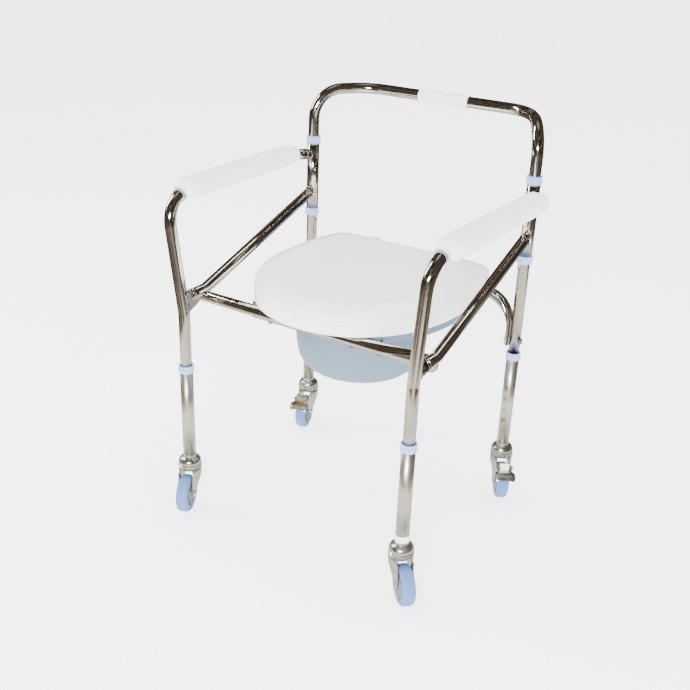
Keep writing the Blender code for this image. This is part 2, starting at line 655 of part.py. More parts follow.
def pail():
    """Bowl with a flat rim that slides in the carrier's rails."""
    def half_width(z, inset):
        depth = (PAIL_BOWL_TOP_Z - z) / (PAIL_DEPTH - inset)
        return (PAIL_R - inset) * max(1 - depth ** PAIL_POWER, 0) ** (1 / PAIL_POWER)

    bottom = PAIL_BOWL_TOP_Z - PAIL_DEPTH
    steps = 7
    outer = []
    inner = []
    for index in range(steps + 1):
        ease = 1 - math.cos(math.pi / 2 * index / steps)
        z = bottom + (PAIL_RIM_Z - bottom) * ease
        outer.append((half_width(z, 0), z))
        z = bottom + SHELL + (PAIL_RIM_Z - bottom - SHELL) * ease
        inner.append((half_width(z, SHELL), z))
    inner[-1] = (inner[-1][0], PAIL_RIM_Z + 0.0035)
    rim = [(PAIL_RIM_R, PAIL_RIM_Z), (PAIL_RIM_R, PAIL_RIM_Z + 0.0025),
           (PAIL_RIM_R - 0.001, PAIL_RIM_Z + 0.0035)]
    outer[0] = (0, bottom)
    inner[0] = (0, bottom + SHELL)
    outer.insert(1, (PAIL_R * 0.62, bottom))
    inner.insert(1, (PAIL_R * 0.60, bottom + SHELL))
    profile = outer + rim + list(reversed(inner))
    bowl = turned("pail", profile, at=(0, PAIL_Y, 0), steps=28)
    finish(bowl, PAIL_PLASTIC, origin=(0, PAIL_Y, PAIL_RIM_Z))


# ---------------------------------------------------------------- legs and castors
def lower_leg(word, x, y, collar_z, facing):
    top = collar_z + COLLAR_H / 2 - 0.0033
    leg = tube("lower_leg_" + word, [Vector((x, y, LEG_BOTTOM)), Vector((x, y, top))], LOWER_R, WALL)
    leg = cut(leg, rod("hole", (x, y, BUTTON_Z), (x, y + facing * 0.03, BUTTON_Z), BUTTON_HOLE_R, 12,
                         CUTTERS))
    finish(leg, LEG_METAL, origin=(x, y, collar_z))
    collar("leg_collar_" + word, x, y, collar_z - COLLAR_H / 2, True)
    snap_button("leg_button_" + word, (x, y + facing * LOWER_R, BUTTON_Z), (0, facing, 0))


def castor_stem_profile():
    top = LEG_BOTTOM - GAP
    bore = LOWER_R - WALL - 3 * GAP
    race = [(0, 0.0003), (0.0215, 0.0003), (0.0225, 0.0020), (0.0222, 0.0045), (0.0180, 0.0090),
            (0.0135, 0.0110), (0.0125, 0.0140), (0.0145, 0.0150)]
    plug = [(0.0145, top - 0.0050), (LOWER_R, top), (bore, top), (bore, top + 0.020), (0, top + 0.020)]
    return [(radius, RACE_Z + height) for radius, height in race] + plug


def fork_mesh(with_pedal):
    """Pressed fork with its axle, built with the trail along +X and the wheel between the cheeks."""
    lower = []
    for degrees in range(-150, 1, 30):
        angle = math.radians(degrees)
        lower.append((TRAIL + CHEEK_END_R * math.cos(angle), WHEEL_R + CHEEK_END_R * math.sin(angle)))
    nose = [(PEDAL_T + 0.006, PEDAL_Z - 0.006), (PEDAL_T + 0.006, PEDAL_Z + 0.0045)] if with_pedal else [
        (0.030, FORK_TOP_Z - 0.012)]
    outline = lower + nose + [(0.0200, FORK_TOP_Z), (-0.0170, FORK_TOP_Z), (-0.0185, FORK_TOP_Z - 0.010)]
    body = rod("fork", (0, 0, FORK_TOP_Z - 0.0028), (0, 0, FORK_TOP_Z + 0.0004), 0.0215, 20)
    for sign in SIDES.values():
        inner, outer = sign * FORK_INNER, sign * (FORK_INNER + FORK_THICK)
        cheek = plate("cheek", outline, min(inner, outer), max(inner, outer), "YZ")
        cheek.data.transform(Matrix.Rotation(-math.pi / 2, 4, "Z"))
        body = join(body, cheek)
    end = FORK_INNER + FORK_THICK + 0.0025
    head = FORK_INNER + FORK_THICK - 0.0003
    profile = [(0, -end), (0.0050, -end), (0.0065, -end + 0.001), (0.0065, -head), (AXLE_R, -head),
               (AXLE_R, head), (0.0065, head), (0.0065, end - 0.001), (0.0050, end), (0, end)]
    axle = turned("axle", profile, axis="Y", at=(TRAIL, 0, WHEEL_R), steps=12)
    return join(body, axle)


def tyre_profile():
    inner = 0.0298
    half = WHEEL_HALF_W
    return [(inner, -half + 0.001), (WHEEL_R - 0.004, -half), (WHEEL_R - 0.0012, -half + 0.0025),
            (WHEEL_R, -half + 0.006), (WHEEL_R, half - 0.006), (WHEEL_R - 0.0012, half - 0.0025),
            (WHEEL_R - 0.004, half), (inner, half - 0.001)]


def hub_profile():
    bore, outer = AXLE_R + 0.0003, 0.0295
    half = WHEEL_HALF_W
    return [(bore, -half), (0.0090, -half), (0.0100, -0.0055), (0.0250, -0.0055), (0.0265, -half + 0.001),
            (outer, -half + 0.001), (outer, half - 0.001), (0.0265, half - 0.001), (0.0250, 0.0055),
            (0.0100, 0.0055), (0.0090, half), (bore, half)]


def pedal_mesh():
    """Foot pedal hinged between the fork cheeks, with a wide tread ahead of the wheel."""
    half = FORK_INNER - 0.0004
    barrel = rod("pedal", (PEDAL_T, -half, PEDAL_Z), (PEDAL_T, half, PEDAL_Z), 0.0036, 12)
    shape = [(PEDAL_T - 0.0010, PEDAL_Z + 0.0012), (PEDAL_T + 0.0010, PEDAL_Z - 0.0026),
             (PEDAL_T + 0.0240, PEDAL_Z - 0.0075), (PEDAL_T + 0.0290, PEDAL_Z - 0.0135),
             (PEDAL_T + 0.0310, PEDAL_Z - 0.0125), (PEDAL_T + 0.0260, PEDAL_Z - 0.0040)]
    arm = plate("tread", shape, -half + 0.0004, half - 0.0004, "YZ")
    arm.data.transform(Matrix.Rotation(-math.pi / 2, 4, "Z"))
    wide = [point for point in shape if point[0] > PEDAL_T + 0.01]
    wide = [(PEDAL_T + 0.0085, PEDAL_Z - 0.0042)] + wide + [(PEDAL_T + 0.0085, PEDAL_Z - 0.0004)]
    tread = plate("tread", wide, -0.0210, 0.0210, "YZ")
    tread.data.transform(Matrix.Rotation(-math.pi / 2, 4, "Z"))
    return join(barrel, arm, tread)


def castor(word, x, y, trail_angle):
    """One swivel castor: stem, fork with axle, hub and tyre; the rear ones also carry a brake pedal."""
    turn = math.radians(trail_angle)
    ahead = Vector((math.cos(turn), math.sin(turn), 0))
    rear = word.startswith("rear")
    finish(turned("castor_stem_" + word, castor_stem_profile(), at=(x, y, 0)), ZINC, origin=(x, y, RACE_Z))

    fork = fork_mesh(rear)
    fork.name = "castor_fork_" + word
    finish(fork, ZINC, origin=(x, y, 0), turn=turn)

    wheel_at = Vector((x, y, WHEEL_R)) + ahead * TRAIL
    hub = turned("wheel_hub_" + word, hub_profile(), axis="Y", steps=18)
    finish(hub, HUB_PLASTIC, origin=wheel_at, turn=turn)
    tyre = turned("tyre_" + word, tyre_profile(), axis="Y", steps=24)
    finish(tyre, TYRE_RUBBER, origin=wheel_at, turn=turn)
    if rear:
        pedal = pedal_mesh()
        pedal.name = "brake_pedal_" + word
        pedal.data.transform(Matrix.Translation((-PEDAL_T, 0, -PEDAL_Z)))
        pivot = Vector((x, y, PEDAL_Z)) + ahead * PEDAL_T
        finish(pedal, BRASS if word.endswith("left") else ZINC, origin=pivot, turn=turn)


# ---------------------------------------------------------------- assembly
for side_word, side_sign in SIDES.items():
    side_frame(side_word, side_sign)
    arm_pad(side_word, side_sign)
    collar_x = side_sign * REAR_X
    collar("socket_collar_low_" + side_word, collar_x, REAR_Y, SOCKET_LOW_Z - 0.0033, False)
    collar("socket_collar_high_" + side_word, collar_x, REAR_Y, SOCKET_HIGH_Z + 0.0033 - COLLAR_H, True)
    button_at = (side_sign * (REAR_X - UPPER_R), REAR_Y, SOCKET_BUTTON_Z)
    snap_button("socket_button_" + side_word, button_at, (-side_sign, 0, 0))
back_frame()
crossbars()
bolts()
seat_ring()
seat_lid()
hinge_pin()
pail_carrier()
pail()
for corner_word, (corner_x, corner_y, corner_turn) in CASTORS.items():
    is_rear = corner_word.startswith("rear")
    collar_middle, button_side = (REAR_COLLAR_Z, -1) if is_rear else (FRONT_COLLAR_Z, 1)
    lower_leg(corner_word, corner_x, corner_y, collar_middle, button_side)
    castor(corner_word, corner_x, corner_y, corner_turn)
for cutter in list(CUTTERS.objects):
    bpy.data.objects.remove(cutter, do_unlink=True)
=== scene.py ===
"""Looks of the commode chair: finer shapes over the CAD frame, procedural materials, studio and camera."""
import json
import math

import bmesh
import bpy
from mathutils import Matrix, Vector


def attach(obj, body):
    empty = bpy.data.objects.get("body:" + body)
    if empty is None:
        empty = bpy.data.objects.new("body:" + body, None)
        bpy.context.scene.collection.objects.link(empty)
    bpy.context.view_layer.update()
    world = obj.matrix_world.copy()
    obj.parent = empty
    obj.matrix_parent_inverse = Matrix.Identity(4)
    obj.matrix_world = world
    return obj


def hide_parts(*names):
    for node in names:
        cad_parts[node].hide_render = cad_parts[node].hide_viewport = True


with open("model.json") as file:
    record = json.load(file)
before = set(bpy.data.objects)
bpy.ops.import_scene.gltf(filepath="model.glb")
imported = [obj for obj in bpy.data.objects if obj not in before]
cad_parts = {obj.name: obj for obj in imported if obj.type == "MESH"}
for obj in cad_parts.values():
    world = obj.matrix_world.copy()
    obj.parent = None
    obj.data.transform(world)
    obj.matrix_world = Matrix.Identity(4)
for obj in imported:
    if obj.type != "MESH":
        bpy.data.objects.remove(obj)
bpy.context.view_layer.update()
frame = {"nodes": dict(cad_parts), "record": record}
NODES = frame["nodes"]

# ---------------------------------------------------------------- sizes repeated from the CAD (metres)
CENTRE = Vector((0.0052, 0.0256, 0))     # middle of the whole chair, seen from the middle of its legs
UPPER_R, LOWER_R, WALL = 0.0111, 0.0127, 0.0012
FRONT_X, FRONT_Y = 0.2465, -0.2105
REAR_X, REAR_Y = 0.2491, 0.2117
LEG_BOTTOM, INNER_TUBE_END = 0.1144, 0.2060
FRONT_COLLAR_Z, REAR_COLLAR_Z = 0.3056, 0.3152
BUTTON_Z = 0.1950
LEAN_START_Z = 0.4208
ARM_CORNER = (0.2666, -0.2241, 0.6452)
ARM_REAR = (0.2763, 0.1744, 0.6452)
SOCKET_LOW_Z, SOCKET_HIGH_Z = 0.5165, 0.6805
BACK_TOP_Z, BACK_BOW, BACK_BAR_X = 0.7787, 0.100, 0.180
BRACE_TOP_Z = 0.5673
KNUCKLE = (0.2514, -0.1446, 0.4482)
BRACE_END_Y = -0.187
COLLAR_H = 0.015
PAD_NOSE_Y = -0.186
PAD_HALF_W, PAD_LOW, PAD_HIGH = 0.0238, 0.0160, 0.0200
SLEEVE_HALF = 0.055
GAP, SHELL = 0.0003, 0.003
BAR_Z, FRONT_BAR_Y, FRONT_BAR_HALF = 0.4365, -0.150, 0.258
FLAT_THICK, FLAT_TALL = 0.0030, 0.0165
REAR_FLAT_X, REAR_FLAT_END_Z, REAR_BOLT_Z, REAR_BEND_R = 0.2344, 0.3350, 0.3480, 0.060
CARRIER_BOLT_X = 0.089
SOCKET_BUTTON_Z = 0.5000
SEAT_HALF_W, SEAT_WIDEST_Y, SEAT_FRONT_REACH = 0.203, 0.050, 0.245
SEAT_REAR_Y, SEAT_REAR_HALF_W, SEAT_CORNER_R, SEAT_POWER = 0.226, 0.188, 0.045, 2.1
HINGE_Y, HINGE_Z, HINGE_EYE_R = 0.2370, 0.4660, 0.0070
CARRIER_EYE_X, RING_EYE_X, LID_EYE_X, EYE_WIDTH = 0.070, 0.046, 0.098, 0.020
CARRIER_FRONT_Y, CARRIER_REAR_Y = -0.1375, 0.1990
CARRIER_LOW_Z, CARRIER_TOP_Z, TONGUE_LOW_Z = 0.4370, 0.4500, 0.4480
PAIL_Y, PAIL_R, PAIL_DEPTH, PAIL_POWER = 0.025, 0.127, 0.158, 6.3
PAIL_BOWL_TOP_Z, PAIL_RIM_Z, PAIL_RIM_R = 0.455, 0.4180, 0.1370
RAIL_X, RAIL_LOW_Z, RAIL_FLOOR, DISCHARGE_R = 0.1415, 0.4150, 0.0025, 0.112
WHEEL_R, WHEEL_HALF_W, AXLE_R, TRAIL = 0.0375, 0.0120, 0.0040, 0.028
FORK_TOP_Z, FORK_INNER, FORK_THICK, CHEEK_END_R = 0.0860, 0.0144, 0.0024, 0.0095
PEDAL_T, PEDAL_Z = 0.050, 0.0805         # the pedal's pin: its distance from the swivel, and its height
COLLAR_STEP = 0.0033                     # from a tube's end to the end of the collar over it
HOLE_PITCH = 0.025
TUBE_SIDES = 32
SIDES = {"left": -1, "right": 1}
# Each castor's place, and the direction in degrees that its wheel trails in.
CASTORS = {"front_left": (-FRONT_X, FRONT_Y, -67), "front_right": (FRONT_X, FRONT_Y, -43),
           "rear_left": (-REAR_X, REAR_Y, -73), "rear_right": (REAR_X, REAR_Y, -58)}


# ---------------------------------------------------------------- materials
def colour_ramp(tree, factor, stops):
    """Colour of a factor between stops of (position, colour)."""
    ramp = tree.nodes.new("ShaderNodeValToRGB")
    elements = ramp.color_ramp.elements
    for element, (position, colour) in zip(elements, (stops[0], stops[-1])):
        element.position = position
        element.color = (*colour, 1)
    for position, colour in stops[1:-1]:
        elements.new(position).color = (*colour, 1)
    tree.links.new(factor, ramp.inputs["Fac"])
    return ramp.outputs["Color"]


class Nodes:
    """Small helper that builds one material's node tree."""

    def __init__(self, name, metallic, roughness):
        self.material = bpy.data.materials.new(name)
        self.material.use_nodes = True
        self.tree = self.material.node_tree
        self.shader = self.tree.nodes["Principled BSDF"]
        self.shader.inputs["Metallic"].default_value = metallic
        self.shader.inputs["Roughness"].default_value = roughness
        self.place = self.tree.nodes.new("ShaderNodeTexCoord").outputs["Object"]

    def noise(self, scale, detail=4, stretch=(1, 1, 1), distortion=0.0):
        mapping = self.tree.nodes.new("ShaderNodeMapping")
        mapping.inputs["Scale"].default_value = stretch
        self.tree.links.new(self.place, mapping.inputs["Vector"])
        texture = self.tree.nodes.new("ShaderNodeTexNoise")
        texture.inputs["Scale"].default_value = scale
        texture.inputs["Detail"].default_value = detail
        texture.inputs["Distortion"].default_value = distortion
        self.tree.links.new(mapping.outputs["Vector"], texture.inputs["Vector"])
        return texture.outputs["Fac"]

    def ramp(self, factor, stops):
        return colour_ramp(self.tree, factor, stops)

    def spread(self, factor, low, high, start=0.3, end=0.7):
        spread = self.tree.nodes.new("ShaderNodeMapRange")
        spread.inputs["From Min"].default_value = start
        spread.inputs["From Max"].default_value = end
        spread.inputs["To Min"].default_value = low
        spread.inputs["To Max"].default_value = high
        self.tree.links.new(factor, spread.inputs["Value"])
        return spread.outputs["Result"]

    def colour(self, socket):
        self.tree.links.new(socket, self.shader.inputs["Base Color"])

    def roughness(self, socket):
        self.tree.links.new(socket, self.shader.inputs["Roughness"])

    def bump(self, height, strength, distance):
        bump = self.tree.nodes.new("ShaderNodeBump")
        bump.inputs["Strength"].default_value = strength
        bump.inputs["Distance"].default_value = distance
        self.tree.links.new(height, bump.inputs["Height"])
        self.tree.links.new(bump.outputs["Normal"], self.shader.inputs["Normal"])


def shade(colour, factor):
    return tuple(channel * factor for channel in colour)


def chrome(name, tint, roughness, marks=0.035, patches=1.0):
    """Thin plating in a warm tint: fine drawing marks along the tube and a faint haze."""
    made = Nodes(name, 1.0, roughness)
    haze = made.noise(26, detail=5)
    made.colour(made.ramp(haze, [(0.30, shade(tint, 0.86)), (0.55, tint), (0.75, shade(tint, 1.06))]))
    low, high = roughness * (1 - 0.4 * patches), roughness * (1 + 0.7 * patches)
    made.roughness(made.spread(made.noise(90, detail=6), low, high))
    made.bump(made.noise(420, detail=3, stretch=(1, 1, 0.08)), marks, 0.0004)
    return made.material


def zinc(name, tint, roughness):
    """Bright zinc on pressed steel: mottled crystals and shallow press marks."""
    made = Nodes(name, 1.0, roughness)
    cells = made.noise(160, detail=6, distortion=1.2)
    made.colour(made.ramp(cells, [(0.28, shade(tint, 0.86)), (0.5, tint), (0.72, shade(tint, 1.10))]))
    made.roughness(made.spread(made.noise(70, detail=5), roughness * 0.7, roughness * 1.5))
    made.bump(made.noise(240, detail=4), 0.05, 0.0003)
    return made.material


def plastic(name, tint, roughness, grain=0.05, grain_scale=900, cloud=0.035, coat=0.0, soft=0.0):
    """Moulded plastic: fine mould grain, slow flow clouds and slight patches in the gloss."""
    made = Nodes(name, 0.0, roughness)
    clouds = made.noise(7, detail=4, distortion=0.6)
    stops = [(0.30, shade(tint, 1 - cloud)), (0.55, tint), (0.75, shade(tint, 1 + cloud * 0.6))]
    made.colour(made.ramp(clouds, stops))
    made.roughness(made.spread(made.noise(38, detail=5), roughness * 0.82, roughness * 1.2))
    made.bump(made.noise(grain_scale, detail=3), grain, 0.0005)
    made.shader.inputs["Coat Weight"].default_value = coat
    made.shader.inputs["Coat Roughness"].default_value = 0.18
    made.shader.inputs["Subsurface Weight"].default_value = soft
    made.shader.inputs["Subsurface Radius"].default_value = (0.004, 0.003, 0.002)
    return made.material


CHROME = chrome("chrome_plate", (0.68, 0.645, 0.585), 0.10)
BRACKET = chrome("bracket_plate", (0.42, 0.38, 0.33), 0.30)
LEG_CHROME = chrome("leg_chrome_plate", (0.78, 0.75, 0.665), 0.34, marks=0.008, patches=0.25)
ZINC = zinc("zinc_plate", (0.56, 0.57, 0.53), 0.27)
BRASS = zinc("yellow_zinc_plate", (0.66, 0.56, 0.40), 0.30)
BUSH = plastic("bush_plastic", (0.30, 0.40, 0.70), 0.38, grain=0.03)
SEAT = plastic("seat_plastic", (0.93, 0.92, 0.91), 0.34, grain=0.02, grain_scale=500, coat=0.15, soft=0.12)
RING = plastic("ring_plastic", (0.93, 0.925, 0.92), 0.34, grain=0.02, grain_scale=500, coat=0.15, soft=0.12)
PAD = plastic("pad_skin", (0.93, 0.93, 0.935), 0.55, grain=0.16, grain_scale=700, cloud=0.03, soft=0.15)
SLEEVE = plastic("sleeve_plastic", (0.88, 0.87, 0.85), 0.45, grain=0.05)
PAIL = plastic("pail_plastic", (0.125, 0.185, 0.25), 0.33, grain=0.03, grain_scale=650, cloud=0.05, coat=0.2)
TYRE = plastic("tyre_rubber", (0.095, 0.175, 0.41), 0.52, grain=0.12, grain_scale=800, cloud=0.06)
HUB = plastic("hub_plastic", (0.20, 0.26, 0.28), 0.42, grain=0.04)
GROMMET = plastic("pad_grommet", (0.62, 0.62, 0.63), 0.45, grain=0.05)
BUFFER = plastic("buffer_rubber", (0.45, 0.45, 0.44), 0.6, grain=0.08)
# Painted shade: near-black for the discs that stand for the shaded insides of the leg holes.
DARK = plastic("hole_shadow", (0.045, 0.04, 0.035), 0.5)


LOOKS = {"lower_leg": LEG_CHROME, "seat_lid": SEAT, "seat_ring": RING, "arm_pad": PAD,
         "backrest_sleeve": SLEEVE, "pail": PAIL, "tyre": TYRE, "wheel_hub": HUB, "castor": ZINC,
         "brake_pedal_rear_left": BRASS, "brake_pedal": ZINC, "leg_collar": BUSH, "socket_collar": BUSH,
         "rear_bolt": ZINC, "carrier_bolt": ZINC, "leg_button": ZINC, "socket_button": ZINC,
         "hinge_pin": ZINC}


def look_of(node):
    for start, look in LOOKS.items():
        if node.startswith(start):
            return look
    return CHROME


def body_of(node):
    for body, members in frame["record"]["behaviour"]["bodies"].items():
        if node in members:
            return body
    return None


for cad_name, cad_object in NODES.items():
    cad_object.data.materials.clear()
    cad_object.data.materials.append(look_of(cad_name))

# ---------------------------------------------------------------- building helpers
def at(x, y, z, turn=0, axis="Z"):
    """Place of a piece: a point, and a turn in degrees about one axis."""
    return Matrix.Translation((x, y, z)) @ Matrix.Rotation(math.radians(turn), 4, axis)


def settle(obj, look, node, replace=True, place=Matrix()):
    """Paint a new piece, put it at its place in the chair's frame and let it ride with its CAD body."""
    obj.data.materials.clear()
    obj.data.materials.append(look)
    obj.data.transform(Matrix.Translation(-CENTRE) @ place)
    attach(obj, body_of(node))
    if replace:
        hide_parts(node)
    return obj


def link(name, data):
    obj = bpy.data.objects.new(name, data)
    bpy.context.scene.collection.objects.link(obj)
    return obj


def mesh_object(name, bm, sharp=35):
    bmesh.ops.recalc_face_normals(bm, faces=bm.faces)
    mesh = bpy.data.meshes.new(name)
    bm.to_mesh(mesh)
    bm.free()
    mesh.polygons.foreach_set("use_smooth", [True] * len(mesh.polygons))
    mesh.set_sharp_from_angle(angle=math.radians(sharp))
    return link(name, mesh)


def bevel(obj, width, segments=2, limit=35):
    step = obj.modifiers.new("edges", "BEVEL")
    step.width = width
    step.segments = segments
    step.limit_method = "ANGLE"
    step.angle_limit = math.radians(limit)
    step.harden_normals = True
    return obj


def rounded_path(points, radii, steps=14):
    """Corner points joined by straight runs, each inner corner rounded to its own radius."""
    path = [Vector(points[0])]
    for before, corner, after, radius in zip(points, points[1:], points[2:], radii):
        corner = Vector(corner)
        back = (Vector(before) - corner).normalized()
        ahead = (Vector(after) - corner).normalized()
        angle = back.angle(ahead)
        reach = radius / math.tan(angle / 2)
        centre = corner + (back + ahead).normalized() * radius / math.sin(angle / 2)
        start, end = corner + back * reach - centre, corner + ahead * reach - centre
        sweep = math.pi - angle
        for step in range(steps + 1):
            share = step / steps
            arm = (math.sin((1 - share) * sweep) * start + math.sin(share * sweep) * end) / math.sin(sweep)
            path.append(centre + arm)
    path.append(Vector(points[-1]))
    return path


def sweep(name, path, sections):
    """Skin a path with sections of (half width, half height, squareness, direction that is up)."""
    bm = bmesh.new()
    rows = []
    for index, (place, section) in enumerate(zip(path, sections)):
        ahead = (path[min(index + 1, len(path) - 1)] - path[max(index - 1, 0)]).normalized()
        across, up, square, upward = section
        side = ahead.cross(upward).normalized()
        top = side.cross(ahead).normalized()
        row = []
        for step in range(TUBE_SIDES):
            angle = 2 * math.pi * step / TUBE_SIDES
            x, z = math.cos(angle), math.sin(angle)
            x = math.copysign(abs(x) ** square, x) * across
            z = math.copysign(abs(z) ** square, z) * up
            row.append(bm.verts.new(place + side * x + top * z))
        rows.append(row)
    for lower, upper in zip(rows, rows[1:]):
        for index in range(TUBE_SIDES):
            following = (index + 1) % TUBE_SIDES
            bm.faces.new((lower[index], lower[following], upper[following], upper[index]))
    bm.faces.new(rows[0])
    bm.faces.new(rows[-1])
    return mesh_object(name, bm)


def pipe(name, path, radius, wall=WALL):
    """A drawn tube with a real wall, so that its open ends show their thickness."""
    curve = bpy.data.curves.new(name, "CURVE")
    curve.dimensions = "3D"
    curve.bevel_depth = radius
    curve.bevel_resolution = 7
    spline = curve.splines.new("POLY")
    spline.points.add(len(path) - 1)
    for point, place in zip(spline.points, path):
        point.co = (*place, 1)
    spline.use_smooth = True
    shell = link(name, curve)
    graph = bpy.context.evaluated_depsgraph_get()
    mesh = bpy.data.meshes.new_from_object(shell.evaluated_get(graph))
    bpy.data.objects.remove(shell, do_unlink=True)
    mesh.polygons.foreach_set("use_smooth", [True] * len(mesh.polygons))
    obj = link(name, mesh)
    skin = obj.modifiers.new("wall", "SOLIDIFY")
    skin.thickness = wall
    skin.offset = -1
    return obj


def spun(name, profile, steps=48, sharp=35, axis="Z"):
    """Turn a (radius, height) outline about an axis; its ends join unless it starts on the axis."""
    bm = bmesh.new()
    rows = []
    for radius, height in profile:
        count = 1 if radius == 0 else steps
        row = []
        for step in range(count):
            angle = 2 * math.pi * step / steps
            spot = Vector((radius * math.cos(angle), radius * math.sin(angle), height))
            if axis == "X":
                spot = Vector((spot.z, spot.x, spot.y))
            if axis == "Y":
                spot = Vector((spot.x, spot.z, -spot.y))
            row.append(bm.verts.new(spot))
        rows.append(row)
    pairs = list(zip(rows, rows[1:]))
    if profile[0][0] > 0:
        pairs.append((rows[-1], rows[0]))
    for lower, upper in pairs:
        for step in range(steps):
            following = (step + 1) % steps
            corners = [lower[step % len(lower)], lower[following % len(lower)],
                       upper[following % len(upper)], upper[step % len(upper)]]
            unique = list(dict.fromkeys(corners))
            if len(unique) > 2:
                bm.faces.new(unique)
    return mesh_object(name, bm, sharp)


def arc(centre_r, centre_z, radius, start, end, steps=5):
    """Points of a fillet for a turned outline, from one angle to another in degrees."""
    points = []
    for step in range(steps + 1):
        angle = math.radians(start + (end - start) * step / steps)
        points.append((centre_r + radius * math.cos(angle), centre_z + radius * math.sin(angle)))
    return points


def weld_bead(name, socket, start, toward, radius, node):
    """Ring of weld where a tube runs into an upright socket."""
    along = (toward - start).normalized()
    side = along.cross(Vector((0, 0, 1))).normalized()
    top = side.cross(along)
    curve = bpy.data.curves.new(name, "CURVE")
    curve.dimensions = "3D"
    curve.bevel_depth = 0.0014
    curve.bevel_resolution = 3
    spline = curve.splines.new("POLY")
    count = 40
    spline.points.add(count - 1)
    for index, point in enumerate(spline.points):
        angle = 2 * math.pi * index / count
        spot = start + (side * math.cos(angle) + top * math.sin(angle)) * (radius + 0.0004)
        flat = Vector((spot.x - socket.x, spot.y - socket.y))
        pull = Vector((along.x, along.y))
        a, b, c = pull.dot(pull), 2 * flat.dot(pull), flat.dot(flat) - (LOWER_R + 0.0002) ** 2
        reach = (-b - math.sqrt(max(b * b - 4 * a * c, 0))) / (2 * a)
        point.co = (*(spot + along * reach), 1)
        point.radius = 1 + 0.12 * math.sin(angle * 13)
    spline.use_cyclic_u = True
    spline.use_smooth = True
    return settle(link(name, curve), CHROME, node, replace=False)


# ---------------------------------------------------------------- tubes
def arm_path(side):
    points = [(side * FRONT_X, FRONT_Y, INNER_TUBE_END), (side * FRONT_X, FRONT_Y, LEAN_START_Z),
              (side * ARM_CORNER[0], *ARM_CORNER[1:]), (side * ARM_REAR[0], *ARM_REAR[1:]),
              (side * REAR_X, REAR_Y, ARM_REAR[2])]
    return rounded_path(points, [0.060, 0.0534, 0.030])


def brace_path(side):
    points = [(side * KNUCKLE[0], BRACE_END_Y, KNUCKLE[2]), (side * KNUCKLE[0], *KNUCKLE[1:]),
              (side * REAR_X, REAR_Y, BRACE_TOP_Z)]
    return rounded_path(points, [0.040], steps=10)


def back_path():
    end = [(REAR_X, REAR_Y, INNER_TUBE_END), (REAR_X, REAR_Y, BACK_TOP_Z),
           (BACK_BAR_X, REAR_Y + BACK_BOW, BACK_TOP_Z)]
    points = end + [(-x, y, z) for x, y, z in reversed(end)]
    return rounded_path(points, [0.060, 0.080, 0.080, 0.060], steps=16)


def add_joined_tube(stem, word, path, socket):
    """Tube that ends inside the rear socket's wall, with its weld."""
    path[-1] = path[-1].lerp(path[-2], LOWER_R * 0.8 / (path[-1] - path[-2]).length)
    node = f"{stem}_{word}"
    settle(pipe(f"{stem}_fine_{word}", path, UPPER_R), CHROME, node)
    weld_bead(f"{stem.removesuffix('_tube')}_weld_{word}", socket, path[-2], path[-1], UPPER_R, node)


def add_tubes():
    for word, side in SIDES.items():
        socket = Vector((side * REAR_X, REAR_Y, 0))
        add_joined_tube("arm_tube", word, arm_path(side), socket)
        add_joined_tube("brace", word, brace_path(side), socket)
        path = [socket + Vector((0, 0, height)) for height in (SOCKET_LOW_Z, SOCKET_HIGH_Z)]
        settle(pipe("socket_fine_" + word, path, LOWER_R), CHROME, "socket_tube_" + word)
    settle(pipe("rear_frame_fine", back_path(), UPPER_R), CHROME, "rear_frame_tube")


def add_legs():
    """Lower legs with a row of adjusting holes, seen as dark discs of painted shade with pressed rims."""
    hole = [(0, 0), (0.0030, 0), *arc(0.0034, 0, 0.0007, 180, 0), (0, -0.0016)]
    for word, (x, y, _) in CASTORS.items():
        rear = word.startswith("rear")
        top = (REAR_COLLAR_Z if rear else FRONT_COLLAR_Z) + COLLAR_H / 2 - COLLAR_STEP
        node = "lower_leg_" + word
        leg = pipe("leg_fine_" + word, [Vector((x, y, LEG_BOTTOM)), Vector((x, y, top))], LOWER_R)
        settle(leg, LEG_CHROME, node)
        facing = -1 if rear else 1
        for step in (-1, 1, 2):
            rim = spun(f"leg_hole_{word}_{step + 1}", hole, steps=20, axis="Y")
            place = at(x, y + facing * (LOWER_R - 0.0002), BUTTON_Z + step * HOLE_PITCH, 180 if rear else 0)
            settle(rim, DARK, node, False, place)


def collar_outline(length):
    """Bush with a rounded outer edge and a shallow grip groove."""
    inner, outer, edge = UPPER_R + 0.0003, 0.0148, 0.0014
    low = arc(outer - edge, edge, edge, -90, 0, 4)
    high = arc(outer - edge, length - edge, edge, 0, 90, 4)
    groove = [(outer, length * 0.58), (outer - 0.0005, length * 0.62), (outer - 0.0005, length * 0.66),
              (outer, length * 0.70)]
    return [(inner, 0.0004)] + low + groove + high + [(inner + 0.0006, length), (inner, length - 0.0006)]


def add_collars():
    spots = {}
    for word, side in SIDES.items():
        x = side * REAR_X
        spots["socket_collar_low_" + word] = (x, REAR_Y, SOCKET_LOW_Z - COLLAR_STEP, False)
        spots["socket_collar_high_" + word] = (x, REAR_Y, SOCKET_HIGH_Z + COLLAR_STEP - COLLAR_H, True)
    for word, (x, y, _) in CASTORS.items():
        middle = REAR_COLLAR_Z if word.startswith("rear") else FRONT_COLLAR_Z
        spots["leg_collar_" + word] = (x, y, middle - COLLAR_H / 2, True)
    for node, (x, y, low, upward) in spots.items():
        outline = collar_outline(COLLAR_H)
        if not upward:
            outline = [(radius, COLLAR_H - height) for radius, height in reversed(outline)]
        settle(spun(node + "_fine", outline), BUSH, node, place=at(x, y, low))


